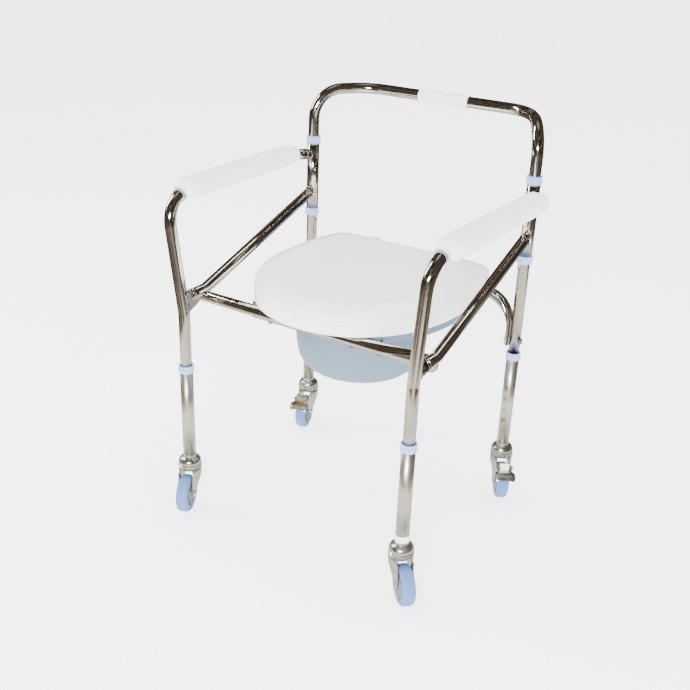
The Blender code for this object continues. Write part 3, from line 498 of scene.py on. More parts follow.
def plate(name, outline, low, high, place, sharp=35):
    """A flat outline given thickness; place turns (along, up, through) into a point."""
    bm = bmesh.new()
    near = [bm.verts.new(place(u, v, low)) for u, v in outline]
    far = [bm.verts.new(place(u, v, high)) for u, v in outline]
    bm.faces.new(near)
    bm.faces.new(far)
    for index in range(len(outline)):
        following = (index + 1) % len(outline)
        bm.faces.new((near[index], near[following], far[following], far[index]))
    return mesh_object(name, bm, sharp)


def sheet_metal(name, rows, thickness, edge=0.0005):
    """Pressed sheet through rows of points, with its real thickness and broken edges."""
    bm = bmesh.new()
    grid = [[bm.verts.new(spot) for spot in row] for row in rows]
    for lower, upper in zip(grid, grid[1:]):
        for index in range(len(lower) - 1):
            bm.faces.new((lower[index], lower[index + 1], upper[index + 1], upper[index]))
    obj = mesh_object(name, bm, 50)
    skin = obj.modifiers.new("thickness", "SOLIDIFY")
    skin.thickness = thickness
    skin.offset = 0
    return bevel(obj, edge, 2, 50)


def loft(name, rings, closed=False, sharp=35):
    """A skin through outlines with equal numbers of points; closed joins the last to the first."""
    bm = bmesh.new()
    rows = [[bm.verts.new(point) for point in ring] for ring in rings]
    pairs = list(zip(rows, rows[1:]))
    if closed:
        pairs.append((rows[-1], rows[0]))
    for lower, upper in pairs:
        for index in range(len(lower)):
            following = (index + 1) % len(lower)
            bm.faces.new((lower[index], lower[following], upper[following], upper[index]))
    if not closed:
        bm.faces.new(rows[0])
        bm.faces.new(rows[-1])
    return mesh_object(name, bm, sharp)


def hexagon(radius):
    return [(radius * math.cos(math.radians(60 * step)), radius * math.sin(math.radians(60 * step)))
            for step in range(6)]


# ---------------------------------------------------------------- seat
def smooth_ring(points, steps=4):
    """Catmull-Rom curve through a closed row of points."""
    fine = []
    count = len(points)
    for index in range(count):
        before, start, end, after = (Vector(points[(index + shift) % count]) for shift in (-1, 0, 1, 2))
        for step in range(steps):
            t = step / steps
            square = 2 * before - 5 * start + 4 * end - after
            cube = 3 * start - 3 * end + after - before
            fine.append(0.5 * (2 * start + (end - before) * t + square * t ** 2 + cube * t ** 3))
    return fine


def seat_outline(inset, z, front_limit=None, rear_limit=None):
    """Plan of the seat drawn in by an inset: rounded front, nearly straight rear, optional trims."""
    half, reach = SEAT_HALF_W - inset, SEAT_FRONT_REACH - inset
    rear, rear_half = SEAT_REAR_Y - inset, SEAT_REAR_HALF_W - inset
    points = []
    for step in range(21):
        angle = math.pi * step / 20
        across, along = math.cos(angle), math.sin(angle)
        x = math.copysign(abs(across) ** (2 / SEAT_POWER), across) * half
        points.append((x, SEAT_WIDEST_Y - reach * abs(along) ** (2 / SEAT_POWER)))
    flank = rear - SEAT_CORNER_R - SEAT_WIDEST_Y
    left = [(-half * 0.985, SEAT_WIDEST_Y + flank * 0.42), (-rear_half - 0.007, SEAT_WIDEST_Y + flank * 0.81)]
    for step in range(5):
        angle = math.pi / 2 * step / 4
        left.append((-rear_half + SEAT_CORNER_R * (1 - math.cos(angle)),
                     rear - SEAT_CORNER_R + SEAT_CORNER_R * math.sin(angle)))
    left += [((SEAT_CORNER_R - rear_half) * share, rear) for share in (0.87, 0.68, 0.40)]
    right = [(-x, y) for x, y in reversed(left)]
    ring = []
    for spot in smooth_ring([(x, y, 0) for x, y in points + left + right]):
        y = spot.y
        if front_limit is not None:
            y = max(y, front_limit)
        y = min(y, rear if rear_limit is None else rear_limit)
        ring.append(Vector((spot.x, y, z)))
    return ring


def hole_outline(half_w, front, rear, z):
    """Oval opening with each point on the ray of its outer point."""
    middle = (front + rear) / 2
    ring = []
    for spot in seat_outline(0, z):
        angle = math.atan2((spot.y - middle) / (rear - front) * 2, spot.x / half_w)
        ring.append(Vector((half_w * math.cos(angle), middle + (rear - front) / 2 * math.sin(angle), z)))
    return ring


def along_x(u, v, through):
    return Vector((through, u, v))


def along_y(u, v, through):
    return Vector((u, through, v))


def along_z(u, v, through):
    return Vector((u, v, through))


def hinge_eye(angles):
    """Round of a hinge eye, about the pin's axis."""
    return [(HINGE_Y + HINGE_EYE_R * math.cos(math.radians(angle)),
             HINGE_Z + HINGE_EYE_R * math.sin(math.radians(angle))) for angle in angles]


def hinge_lug(name, x, root, angles, look, node):
    """Lug round the hinge pin: a root that joins the seat, and the round of its eye."""
    lug = plate(name, root + hinge_eye(angles), x - EYE_WIDTH / 2, x + EYE_WIDTH / 2, along_x, 30)
    return settle(bevel(lug, 0.0008), look, node, replace=False)


def add_seat():
    skirt = [(0.0030, 0.4503), (0.0010, 0.4503), (0.0003, 0.4510), (0, 0.4535), (0, 0.4735), (0.0002, 0.4770),
             (0.0010, 0.4778), (0.0030, 0.4781), (0.0100, 0.4782)]
    hole = [(0.1250, -0.145, 0.170, 0.4781), (0.1110, -0.131, 0.156, 0.4779),
            (0.1068, -0.1268, 0.1518, 0.4770), (0.1052, -0.1252, 0.1502, 0.4752),
            (0.1050, -0.1250, 0.1500, 0.4730), (0.1054, -0.1254, 0.1504, 0.4690),
            (0.1064, -0.1264, 0.1514, 0.4682), (0.1086, -0.1286, 0.1536, 0.4684),
            (0.1090, -0.1290, 0.1540, 0.4740)]
    rings = [seat_outline(*row) for row in skirt] + [hole_outline(*row) for row in hole]
    rings += [seat_outline(0.0070, 0.4740), seat_outline(0.0040, 0.4700)]
    settle(loft("ring_fine", rings, closed=True), RING, "seat_ring")

    underside = [(0.100, 0.4955), (0.040, 0.4951), (0.034, 0.4945), (0.020, 0.4893), (0.0095, 0.4848),
                 (0.0062, 0.4820), (0.0048, 0.4790), (0.0040, 0.4785)]
    rim = [(0.0014, 0.4785), (0.0007, 0.4789), (0.0006, 0.4810), (0.0010, 0.4836), (0.0022, 0.4856)]
    shoulder = [(0.0048, 0.4871), (0.0090, 0.4888), (0.0160, 0.4916), (0.0230, 0.4943), (0.0285, 0.4963),
                (0.0315, 0.4973), (0.0335, 0.49785), (0.0360, 0.49815)]
    top = [(0.0400, 0.49830), (0.0600, 0.49845), (0.0800, 0.49850), (0.100, 0.49850)]
    rings = [seat_outline(*row) for row in underside + rim + shoulder + top]
    settle(loft("lid_fine", rings, sharp=60), SEAT, "seat_lid")

    stud = [(0, 0.4783), (0.0052, 0.4783), (0.0062, 0.4790), (0.0062, 0.4810), (0.0050, 0.4818),
            (0.0034, 0.4822), (0.0034, 0.4950), (0, 0.4950)]
    for word, side in SIDES.items():
        root = [(0.2226, 0.4620), (HINGE_Y - 0.0030, 0.4597)]
        hinge_lug("ring_lug_" + word, side * RING_EYE_X, root, range(-110, 111, 20), RING, "seat_ring")
        root = [(HINGE_Y + 0.0020, 0.4838), (0.2226, 0.4842), (0.2226, 0.4790), (0.2300, 0.4786)]
        hinge_lug("lid_lug_" + word, side * LID_EYE_X, root, range(150, 391, 20), SEAT, "seat_lid")
        for step, y in enumerate((-0.105, 0.130)):
            settle(spun(f"lid_buffer_{word}_{step}", stud), BUFFER, "seat_lid", False, at(side * 0.128, y, 0))
    end = LID_EYE_X + EYE_WIDTH / 2 + 0.003
    outline = [(0, -end), (0.0024, -end), (0.0030, -end + 0.0006), (0.0030, end - 0.0006), (0.0024, end),
               (0, end)]
    settle(spun("hinge_pin_fine", outline, axis="X"), ZINC, "hinge_pin", place=at(0, HINGE_Y, HINGE_Z))


def discharge_rim(grow, z):
    """Round opening of the carrier, over the pail."""
    radius = DISCHARGE_R + grow
    return hole_outline(radius, PAIL_Y - radius, PAIL_Y + radius, z)


def add_carrier():
    """Blue-grey plate on the crossbars, with rails below for the pail and straps behind for the hinge."""
    front, rear = CARRIER_FRONT_Y, CARRIER_REAR_Y
    low, top = CARRIER_LOW_Z, CARRIER_TOP_Z
    rings = [seat_outline(0.0015, top - 0.0018, front, rear), seat_outline(0.0015, low + 0.0006, front, rear),
             seat_outline(0.0020, low, front, rear),
             seat_outline(0.0040, low, front + SHELL - 0.0005, rear - SHELL),
             seat_outline(0.0045, low + 0.0005, front + SHELL, rear - SHELL),
             seat_outline(0.0045, top - SHELL, front + SHELL, rear - SHELL),
             discharge_rim(0, top - SHELL), discharge_rim(0, top - 0.0005), discharge_rim(0.0006, top),
             seat_outline(0.0038, top, front + 0.0008, rear - 0.0008),
             seat_outline(0.0022, top - 0.0006, front + 0.0002, rear - 0.0002)]
    settle(loft("carrier_fine", rings, closed=True), PAIL, "pail_carrier")

    def add_part(name, outline, start, end, place, edge):
        sharp = 30 if place is along_x else 35
        settle(bevel(plate(name, outline, start, end, place, sharp), edge), PAIL, "pail_carrier", False)

    under = top - SHELL + 0.0005
    for word, side in SIDES.items():
        rail = [(RAIL_X, RAIL_LOW_Z), (RAIL_X, under), (RAIL_X - SHELL, under),
                (RAIL_X - SHELL, RAIL_LOW_Z + RAIL_FLOOR), (PAIL_R + 0.002, RAIL_LOW_Z + RAIL_FLOOR),
                (PAIL_R + 0.002, RAIL_LOW_Z)]
        rail = [(side * x, z) for x, z in rail]
        add_part("pail_rail_" + word, rail, front + 0.0006, rear - 0.0006, along_y, 0.0006)
        x = side * CARRIER_EYE_X
        root = [(HINGE_Y - 0.0035, TONGUE_LOW_Z), (rear - 0.006, TONGUE_LOW_Z), (rear - 0.006, top - 0.0004),
                (HINGE_Y - 0.0040, top - 0.0004)]
        strap = root + hinge_eye(range(210, -41, -20)) + [(HINGE_Y + 0.0040, TONGUE_LOW_Z)]
        add_part("hinge_strap_" + word, strap, x - EYE_WIDTH / 2, x + EYE_WIDTH / 2, along_x, 0.0007)
        x = side * CARRIER_BOLT_X
        half = [(0.012, front + 0.006), (0.012, FRONT_BAR_Y - 0.004), (0.007, FRONT_BAR_Y - 0.010)]
        tongue = [(x - wide, y) for wide, y in half] + [(x + wide, y) for wide, y in reversed(half)]
        add_part("carrier_tongue_" + word, tongue, TONGUE_LOW_Z, top - 0.0004, along_z, 0.0005)
    stop = [(-RAIL_X, RAIL_LOW_Z), (RAIL_X, RAIL_LOW_Z), (RAIL_X, under), (-RAIL_X, under)]
    add_part("pail_stop", stop, front + 0.0006, front + 0.0036, along_y, 0.0006)


def add_pail():
    def half_width(z, inset):
        depth = (PAIL_BOWL_TOP_Z - z) / (PAIL_DEPTH - inset)
        return (PAIL_R - inset) * max(1 - depth ** PAIL_POWER, 0) ** (1 / PAIL_POWER)

    bottom = PAIL_BOWL_TOP_Z - PAIL_DEPTH
    outer, inner = [], []
    for index in range(1, 25):
        ease = 1 - math.cos(math.pi / 2 * index / 24)
        z = bottom + (PAIL_RIM_Z - bottom) * ease
        outer.append((half_width(z, 0), z))
        z = bottom + SHELL + (PAIL_RIM_Z - bottom - SHELL) * ease
        inner.append((half_width(z, SHELL), z))
    foot = [(0, bottom + 0.0016), (0.050, bottom + 0.0014), (0.054, bottom + 0.0002), (0.056, bottom),
            (PAIL_R * 0.56, bottom)]
    rim = [(PAIL_RIM_R - 0.0004, 0), (PAIL_RIM_R, 0.0005), (PAIL_RIM_R, 0.0027),
           (PAIL_RIM_R - 0.0008, 0.0035), (PAIL_R + 0.0010, 0.0035), (PAIL_R - 0.0010, 0.0030)]
    rim = [(radius, PAIL_RIM_Z + height) for radius, height in rim]
    floor = [(PAIL_R * 0.55, bottom + SHELL), (0, bottom + SHELL)]
    bowl = spun("pail_fine", foot + outer + rim + list(reversed(inner)) + floor, steps=96)
    settle(bowl, PAIL, "pail", place=at(0, PAIL_Y, 0))


# ---------------------------------------------------------------- grips
def pad_centre_x(y):
    slope = (ARM_REAR[0] - ARM_CORNER[0]) / (ARM_REAR[1] - ARM_CORNER[1])
    return ARM_CORNER[0] + slope * (y - ARM_CORNER[1])


def pad_stations():
    """Distance and scale of each section along a pad: bullet nose, even length, rounded tail."""
    nose, length = 0.024, 0.358
    bullet = [math.pi / 2 * (0.10 + 0.90 * step / 12) for step in range(13)]
    stations = [(nose * (1 - math.cos(angle)), math.sin(angle)) for angle in bullet]
    stations = [(max(along - stations[0][0], 0), scale ** 0.82) for along, scale in stations]
    stations += [(nose + (length - 2 * nose) * step / 24, 1.0) for step in range(1, 25)]
    return stations + [(length - 0.0105, 0.988), (length - 0.0055, 0.970), (length - 0.0020, 0.930),
                       (length, 0.86)]


def add_pads():
    """Moulded foam pads with a flattened crown, a fine parting line along each flank and a grommet."""
    sides, squareness, parting = 80, 0.66, 0.975
    for word, side in SIDES.items():
        rings = []
        for along, scale in pad_stations():
            y = PAD_NOSE_Y + along
            middle = Vector((side * pad_centre_x(y), y, ARM_REAR[2] + 0.0015))
            ring = []
            for step in range(sides):
                angle = 2 * math.pi * step / sides
                across, up = math.cos(angle), math.sin(angle)
                across = math.copysign(abs(across) ** squareness, across)
                up = math.copysign(abs(up) ** squareness, up)
                high = PAD_HIGH if up > 0 else PAD_LOW
                seam = parting if step % (sides // 2) == 0 else 1
                ring.append(middle + Vector((across * PAD_HALF_W * scale * seam, 0, up * high * scale)))
            rings.append(ring)
        pad = settle(loft("arm_pad_fine_" + word, rings, sharp=70), PAD, "arm_pad_" + word)
        path = arm_path(side)
        rail = [spot for spot in path if spot.z > 0.6]
        entry = min(rail, key=lambda spot: abs(spot.y - PAD_NOSE_Y + 0.0015))
        index = path.index(entry)
        ahead = (path[index + 1] - path[index - 1]).normalized()
        ring = spun("pad_grommet_" + word, arc(0.0137, 0, 0.0019, 0, 359, 11), steps=48)
        place = Matrix.Translation(entry) @ ahead.to_track_quat("Z", "Y").to_matrix().to_4x4()
        settle(ring, GROMMET, "arm_pad_" + word, False, place)


def add_sleeve():
    low, high, half, edge = UPPER_R + 0.0003, UPPER_R + 0.0017, SLEEVE_HALF, 0.0006
    outline = [(low, -half)] + arc(high - edge, -half + edge, edge, -90, 0, 3)
    outline += [(high, -half + 0.006), (high - 0.0004, -half + 0.0066), (high - 0.0004, half - 0.0066),
                (high, half - 0.006)]
    outline += arc(high - edge, half - edge, edge, 0, 90, 3) + [(low, half)]
    sleeve = spun("sleeve_fine", outline, steps=56, axis="X")
    settle(sleeve, SLEEVE, "backrest_sleeve", place=at(0, REAR_Y + BACK_BOW, BACK_TOP_Z))


# ---------------------------------------------------------------- crossbars and fastenings
def smooth_step(value, low, high):
    share = min(max((value - low) / (high - low), 0), 1)
    return share * share * (3 - 2 * share)


def flattened(flat, tip, thick, square, upward):
    """Section of a tube on its way from round to a squashed end."""
    height = (UPPER_R + (FLAT_TALL - UPPER_R) * flat) * tip
    return UPPER_R + (thick - UPPER_R) * flat, height, square, upward


def add_crossbars():
    rounding = 0.012
    path, sections = [], []
    for step in range(73):
        x = -FRONT_BAR_HALF + 2 * FRONT_BAR_HALF * step / 72
        tip = 1 - max(x - FRONT_BAR_HALF + rounding, 0) ** 2 / rounding ** 2 * 0.55
        thick = FLAT_THICK + 0.0022 * (1 - smooth_step(x, 0.205, 0.235))
        path.append(Vector((x, FRONT_BAR_Y, BAR_Z)))
        sections.append(flattened(smooth_step(x, 0.150, 0.225), tip, thick, 1, Vector((0, 0, 1))))
    settle(sweep("front_bar_fine", path, sections), CHROME, "front_crossbar")

    corners = [(-REAR_FLAT_X, REAR_Y, REAR_FLAT_END_Z), (-REAR_FLAT_X, REAR_Y, BAR_Z),
               (REAR_FLAT_X, REAR_Y, BAR_Z), (REAR_FLAT_X, REAR_Y, REAR_FLAT_END_Z)]
    bends = rounded_path(corners, [REAR_BEND_R, REAR_BEND_R], steps=16)
    drop = [bends[0] + Vector((0, 0, height)) for height in (0.001, 0.003, 0.006, 0.010, 0.020, 0.030)]
    rise = [bends[-1] + (spot - bends[0]) for spot in reversed(drop)]
    path = [bends[0]] + drop + bends[1:-1] + rise + [bends[-1]]
    sections = []
    for spot in path:
        flat = 1 - smooth_step(spot.z, BAR_Z - 0.045, BAR_Z - 0.006)
        tip = 1 - max(rounding - (spot.z - REAR_FLAT_END_Z), 0) ** 2 / rounding ** 2 * 0.5
        sections.append(flattened(flat, tip, FLAT_THICK, 1 - 0.3 * flat, Vector((0, 1, 0))))
    settle(sweep("rear_bar_fine", path, sections), CHROME, "rear_crossbar")


def add_brackets():
    """Gusset between the front leg and the brace's stub, with a clamp screw and a ring of weld."""
    half = 0.0024
    shape = [(0.004, 0.4150), (0.012, 0.4185), (0.021, 0.4222), (0.031, 0.4262), (0.040, 0.4305),
             (0.0465, 0.4350), (0.0475, 0.4420), (0.0475, 0.4520), (0.022, 0.4575), (0.004, 0.4595)]
    shape = [(FRONT_Y + y, z) for y, z in shape]
    head = [(0, 0), (0.0042, 0), (0.0046, 0.0006), (0.0044, 0.0020), (0.0032, 0.0030), (0.0016, 0.0034),
            (0, 0.0034)]
    for word, side in SIDES.items():
        node = "hinge_bracket_" + word
        x = side * FRONT_X
        web = plate("gusset_fine_" + word, shape, x - half, x + half, along_x, 30)
        settle(bevel(web, 0.0010), BRACKET, node)
        screw = spun("gusset_screw_" + word, head, steps=28, axis="X")
        place = at(side * (FRONT_X + half), FRONT_Y + 0.030, 0.4325, 180 if side < 0 else 0, "Y")
        settle(screw, ZINC, node, False, place)
        clip = spun("stub_clip_" + word, arc(UPPER_R + 0.0006, 0, 0.0011, 0, 359, 9), steps=40, axis="Y")
        settle(clip, CHROME, node, False, at(side * KNUCKLE[0], BRACE_END_Y + 0.004, KNUCKLE[2]))


def add_fasteners():
    shank_outline = [(0, 0.2262), (0.0026, 0.2262), (0.0030, 0.2266), (0.0030, 0.2600), (0.0072, 0.2604),
                     (0.0072, 0.2612), (0, 0.2614)]
    tip = BAR_Z - UPPER_R - GAP
    screw_outline = [(0, CARRIER_TOP_Z - 0.0002), (0.0040, CARRIER_TOP_Z - 0.0004),
                     (0.0025, CARRIER_TOP_Z - 0.0012), (0.0025, tip)]
    nut = [(0.0044, 0), (0.0046, 0.0012), (0.0044, 0.0030), (0.0032, 0.0046), (0.0016, 0.0057), (0, 0.0060)]
    screw_outline += [(radius, tip - drop) for radius, drop in nut]
    for word, side in SIDES.items():
        node = "rear_bolt_" + word
        place = at(0, REAR_Y, REAR_BOLT_Z)
        for part, low, high in (("head", REAR_X + UPPER_R + GAP + 0.0008, 0.2632), ("nut", 0.2276, 0.2311)):
            piece = plate(f"rear_bolt_{part}_{word}", hexagon(0.0064), side * low, side * high, along_x, 20)
            settle(bevel(piece, 0.0007, limit=25), ZINC, node, part == "head", place)
        shank = spun("rear_bolt_shank_" + word, shank_outline, axis="X")
        settle(shank, ZINC, node, False, at(0, REAR_Y, REAR_BOLT_Z, 180 if side < 0 else 0))
        screw = spun("carrier_screw_" + word, screw_outline, steps=32)
        settle(screw, ZINC, "carrier_bolt_" + word, place=at(side * CARRIER_BOLT_X, FRONT_BAR_Y, 0))
        x = side * (REAR_X - UPPER_R)
        add_button("socket_button_" + word, (x, REAR_Y, SOCKET_BUTTON_Z), (-side, 0, 0))
    for word, (x, y, _) in CASTORS.items():
        facing = -1 if word.startswith("rear") else 1
        add_button("leg_button_" + word, (x, y + facing * LOWER_R, BUTTON_Z), (0, facing, 0))


def add_button(node, place, facing):
    outline = [(0, -0.0050), (0.0034, -0.0050), (0.0034, 0.0004), (0.0033, 0.0009), (0.0029, 0.0015),
               (0.0022, 0.0020), (0.0012, 0.0023), (0, 0.0024)]
    turn = Vector(facing).to_track_quat("Z", "Y").to_matrix().to_4x4()
    settle(spun(node + "_fine", outline, steps=32), ZINC, node, place=Matrix.Translation(place) @ turn)


# ---------------------------------------------------------------- castors
def castor_place(word, along=0, height=0):
    """Place on a castor: so far along its trail from the swivel, and so high."""
    x, y, trail = CASTORS[word]
    return at(x, y, 0, trail) @ at(along, 0, height)


def fork_rows(rear):
    """Rows of the bent fork sheet, up one cheek, over the crown and down the other."""
    cheek, bend, sheet = FORK_INNER + FORK_THICK / 2, 0.0045, FORK_THICK / 2
    shoulder = FORK_TOP_Z - sheet - bend
    nose_x, nose_z = (PEDAL_T + 0.006, PEDAL_Z - 0.006) if rear else (0.030, FORK_TOP_Z - 0.013)
    half = []
    for step in range(1, 8):
        angle = math.pi / 2 * step / 7
        z = WHEEL_R - CHEEK_END_R * math.cos(angle * 0.92 + 0.08 * math.pi / 2)
        reach = math.sqrt(max(CHEEK_END_R ** 2 - (z - WHEEL_R) ** 2, 1e-8))
        half.append((cheek, z, TRAIL - reach, TRAIL + reach))
    for step in range(1, 19):
        z = WHEEL_R + (shoulder - WHEEL_R) * step / 18
        rise = min((z - WHEEL_R) / (0.072 - WHEEL_R), 1)
        back = TRAIL - CHEEK_END_R + (CHEEK_END_R - TRAIL - 0.0190) * math.sin(rise * math.pi / 2)
        rise = min((z - WHEEL_R) / (nose_z - WHEEL_R), 1)
        front = TRAIL + CHEEK_END_R + (nose_x - TRAIL - CHEEK_END_R) * rise
        half.append((cheek, z, back, front))
    last_back, last_front = half[-1][2], half[-1][3]
    for step in range(1, 7):
        angle = math.pi / 2 * step / 6
        share = math.sin(angle)
        half.append((cheek - bend * (1 - math.cos(angle)), shoulder + bend * math.sin(angle),
                     last_back + (-0.0170 - last_back) * share, last_front + (0.0200 - last_front) * share))
    top = half[-1]
    crown = [(top[0] * (1 - step / 4), top[1], top[2], top[3]) for step in range(1, 5)]
    profile = half + crown + [(-y, z, back, front) for y, z, back, front in reversed(half + crown[:-1])]
    rows = []
    for y, z, back, front in profile:
        bulge = smooth_step(z, 0.046, 0.074)
        row = []
        for step in range(13):
            along = back + (front - back) * step / 12
            round_y = math.sqrt(max(0.0218 ** 2 - along ** 2, 0))
            wide = max(cheek + (round_y - cheek) * bulge, 0.0146)
            row.append(Vector((along, y / cheek * wide, z)))
        rows.append(row)
    return rows


def add_stem(word):
    race = [(0, 0.0873), (0.0222, 0.0873), (0.0231, 0.0880), (0.0231, 0.0892), (0.0220, 0.0899),
            (0.0220, 0.0908), (0.0231, 0.0916), (0.0231, 0.0936), (0.0219, 0.0944), (0.0219, 0.0954)]
    dome = [(0.0228, 0.0962), (0.0227, 0.0985), (0.0222, 0.1012), (0.0208, 0.1040), (0.0188, 0.1064),
            (0.0164, 0.1082), (0.0142, 0.1092), (0.0131, 0.1098)]
    neck = [(0.0127, 0.1106), (0.0127, LEG_BOTTOM - 0.0004), (0.0121, LEG_BOTTOM), (0, LEG_BOTTOM)]
    stem = spun("stem_fine_" + word, race + dome + neck, steps=56, sharp=50)
    settle(stem, ZINC, "castor_stem_" + word, place=castor_place(word))


def add_fork(word):
    node = "castor_fork_" + word
    rear = word.startswith("rear")
    fork = sheet_metal("fork_fine_" + word, fork_rows(rear), FORK_THICK)
    settle(fork, ZINC, node, place=castor_place(word))
    crown = [(0, 0.0862), (0.0208, 0.0862), (0.0216, 0.0857), (0.0219, 0.0848), (0.0214, 0.0838), (0, 0.0836)]
    settle(spun("fork_crown_" + word, crown), ZINC, node, False, castor_place(word))
    end = FORK_INNER + FORK_THICK + 0.0025
    face = FORK_INNER + FORK_THICK - 0.0002
    outline = [(0, -end), (0.0026, -end + 0.0002), (0.0048, -end + 0.0009), (0.0062, -end + 0.0020),
               (0.0064, -face), (AXLE_R, -face), (AXLE_R, end - 0.0006), (0.0034, end), (0, end)]
    axle = spun("axle_fine_" + word, outline, steps=40, axis="Y")
    settle(axle, ZINC, node, False, castor_place(word, TRAIL, WHEEL_R))
    nut = plate("axle_nut_" + word, hexagon(0.0068), face, end - 0.0007, along_y, 20)
    settle(bevel(nut, 0.0006, limit=25), ZINC, node, False, castor_place(word, TRAIL, WHEEL_R))
    if rear:
        head = FORK_INNER + FORK_THICK
        outline = [(0, -head - 0.0016), (0.0024, -head - 0.0012), (0.0036, -head), (0.0018, -head),
                   (0.0018, head), (0.0036, head), (0.0024, head + 0.0012), (0, head + 0.0016)]
        rivet = spun("pedal_rivet_" + word, outline, steps=28, axis="Y")
        settle(rivet, ZINC, node, False, castor_place(word, PEDAL_T, PEDAL_Z))


def add_wheel(word):
    place = castor_place(word, TRAIL, WHEEL_R)
    half = WHEEL_HALF_W
    side = [(0.0298, half - 0.0010), (0.0308, half - 0.0004), (0.0320, half), (0.0324, half - 0.0004),
            (0.0328, half - 0.0002)]
    shoulder = arc(WHEEL_R - 0.0061, half - 0.0064, 0.0060, 66, 10, 6)
    outline = side + shoulder + [(WHEEL_R, half - 0.0078), (WHEEL_R, half - 0.0092)]
    outline += [(radius, -y) for radius, y in reversed(outline)]
    tyre = spun("tyre_fine_" + word, outline, steps=96, sharp=50, axis="Y")
    settle(tyre, TYRE, "tyre_" + word, place=place)
    face = [(AXLE_R + 0.0003, half), (0.0086, half), (0.0094, half - 0.0008), (0.0100, 0.0058),
            (0.0108, 0.0050), (0.0240, 0.0050), (0.0250, 0.0058), (0.0262, half - 0.0018),
            (0.0268, half - 0.0010), (0.0290, half - 0.0010), (0.0295, half - 0.0014)]
    face += [(radius, -y) for radius, y in reversed(face)]
    settle(spun("hub_fine_" + word, face, steps=72, axis="Y"), HUB, "wheel_hub_" + word, place=place)
    spoke = [(-0.0012, 0.0095), (0.0012, 0.0095), (0.0009, 0.0262), (-0.0009, 0.0262)]
    for step in range(6):
        rib = plate(f"hub_rib_{word}_{step}", spoke, -half + 0.0022, half - 0.0022, along_y)
        turned = place @ Matrix.Rotation(math.radians(60 * step), 4, "Y")
        settle(bevel(rib, 0.0005), HUB, "wheel_hub_" + word, False, turned)


def add_pedal(word):
    node = "brake_pedal_" + word
    look = BRASS if word == "rear_left" else ZINC
    start, length, narrow, wide = 0.0535, 0.0268, 0.0118, 0.0208
    rows = []
    for step in range(21):
        share = step / 20
        z = PEDAL_Z - 0.0030 - 0.0040 * share - 0.0070 * share ** 4
        flare = smooth_step(share, 0.14, 0.42)
        half = narrow + (wide - narrow) * flare
        if share > 0.8:
            half -= 0.0050 * (1 - math.sqrt(max(1 - ((share - 0.8) / 0.2) ** 2, 0)))
        row = []
        for index in range(15):
            y = half * (index / 7 - 1)
            row.append(Vector((start + length * share, y, z - 0.0018 * abs(y / half) ** 5 * flare)))
        rows.append(row)
    settle(sheet_metal("pedal_tread_" + word, rows, 0.0020), look, node, place=castor_place(word))
    outline = [(0.0019, -0.0138), (0.0034, -0.0138), (0.0037, -0.0134), (0.0037, 0.0134), (0.0034, 0.0138),
               (0.0019, 0.0138)]
    barrel = spun("pedal_barrel_" + word, outline, steps=32, axis="Y")
    settle(barrel, look, node, False, castor_place(word, PEDAL_T, PEDAL_Z))
    edge = [(0.0084, 0.0000), (0.0088, 0.0080), (0.0086, 0.0118), (0.0112, 0.0144), (0.0108, 0.0158),
            (0.0062, 0.0166)]
    tab = [(-y, z) for y, z in edge] + list(reversed(edge))
    lever = plate("pedal_tab_" + word, tab, -0.0012, 0.0012, along_x)
    lean = Matrix.Rotation(math.radians(-14), 4, "Y")
    place = castor_place(word, PEDAL_T + 0.0072, PEDAL_Z - 0.0050) @ lean
    # On the rear right pedal the tab takes the cream sleeve plastic as a painted highlight of the bright
    # light on its sloped face; on the rear left it keeps the yellow zinc.
    settle(bevel(lever, 0.0007), look if word == "rear_left" else SLEEVE, node, False, place)


def add_castors():
    """The four castors, and the white band above the front right one."""
    for word in CASTORS:
        add_stem(word)
        add_fork(word)
        add_wheel(word)
        if word.startswith("rear"):
            add_pedal(word)
    x, y, _ = CASTORS["front_right"]
    outline = [(0.0001, 0.1150), (0.0009, 0.1153), (0.0010, 0.1160), (0.0010, 0.1275), (0.0008, 0.1282),
               (0.0001, 0.1285)]
    outline = [(LOWER_R + proud, z) for proud, z in outline]
    band = spun("leg_band_front_right", outline)
    settle(band, SLEEVE, "lower_leg_front_right", False, at(x, y, 0))


# ---------------------------------------------------------------- studio and camera
VIEW_TURN, VIEW_DROP, VIEW_ROLL = map(math.radians, (31.99, 25.0, 2.207))
CAMERA_PLACE = Vector((0.8811, -1.4413, 1.1329)) - CENTRE


def add_camera():
    data = bpy.data.cameras.new("camera")
    data.lens = 49.65
    camera = bpy.data.objects.new("camera", data)
    bpy.context.scene.collection.objects.link(camera)
    flat = math.cos(VIEW_DROP)
    ahead = Vector((-math.sin(VIEW_TURN) * flat, math.cos(VIEW_TURN) * flat, -math.sin(VIEW_DROP)))
    level = Vector((math.cos(VIEW_TURN), math.sin(VIEW_TURN), 0))
    upright = level.cross(ahead)
    across = math.cos(VIEW_ROLL) * level + math.sin(VIEW_ROLL) * upright
    up = across.cross(ahead)
    turn = Matrix((across, up, -ahead)).transposed().to_4x4()
    camera.matrix_world = Matrix.Translation(CAMERA_PLACE) @ turn
    bpy.context.scene.camera = camera


def add_light(name, place, target, size, power, colour=(1, 1, 1), mirrored=True):
    data = bpy.data.lights.new(name, "AREA")
    data.shape = "RECTANGLE"
    data.size, data.size_y = size
    data.energy = power
    data.color = colour
    light = bpy.data.objects.new(name, data)
    bpy.context.scene.collection.objects.link(light)
    light.visible_glossy = mirrored
    light.location = place
    light.rotation_euler = (Vector(target) - Vector(place)).to_track_quat("-Z", "Y").to_euler()


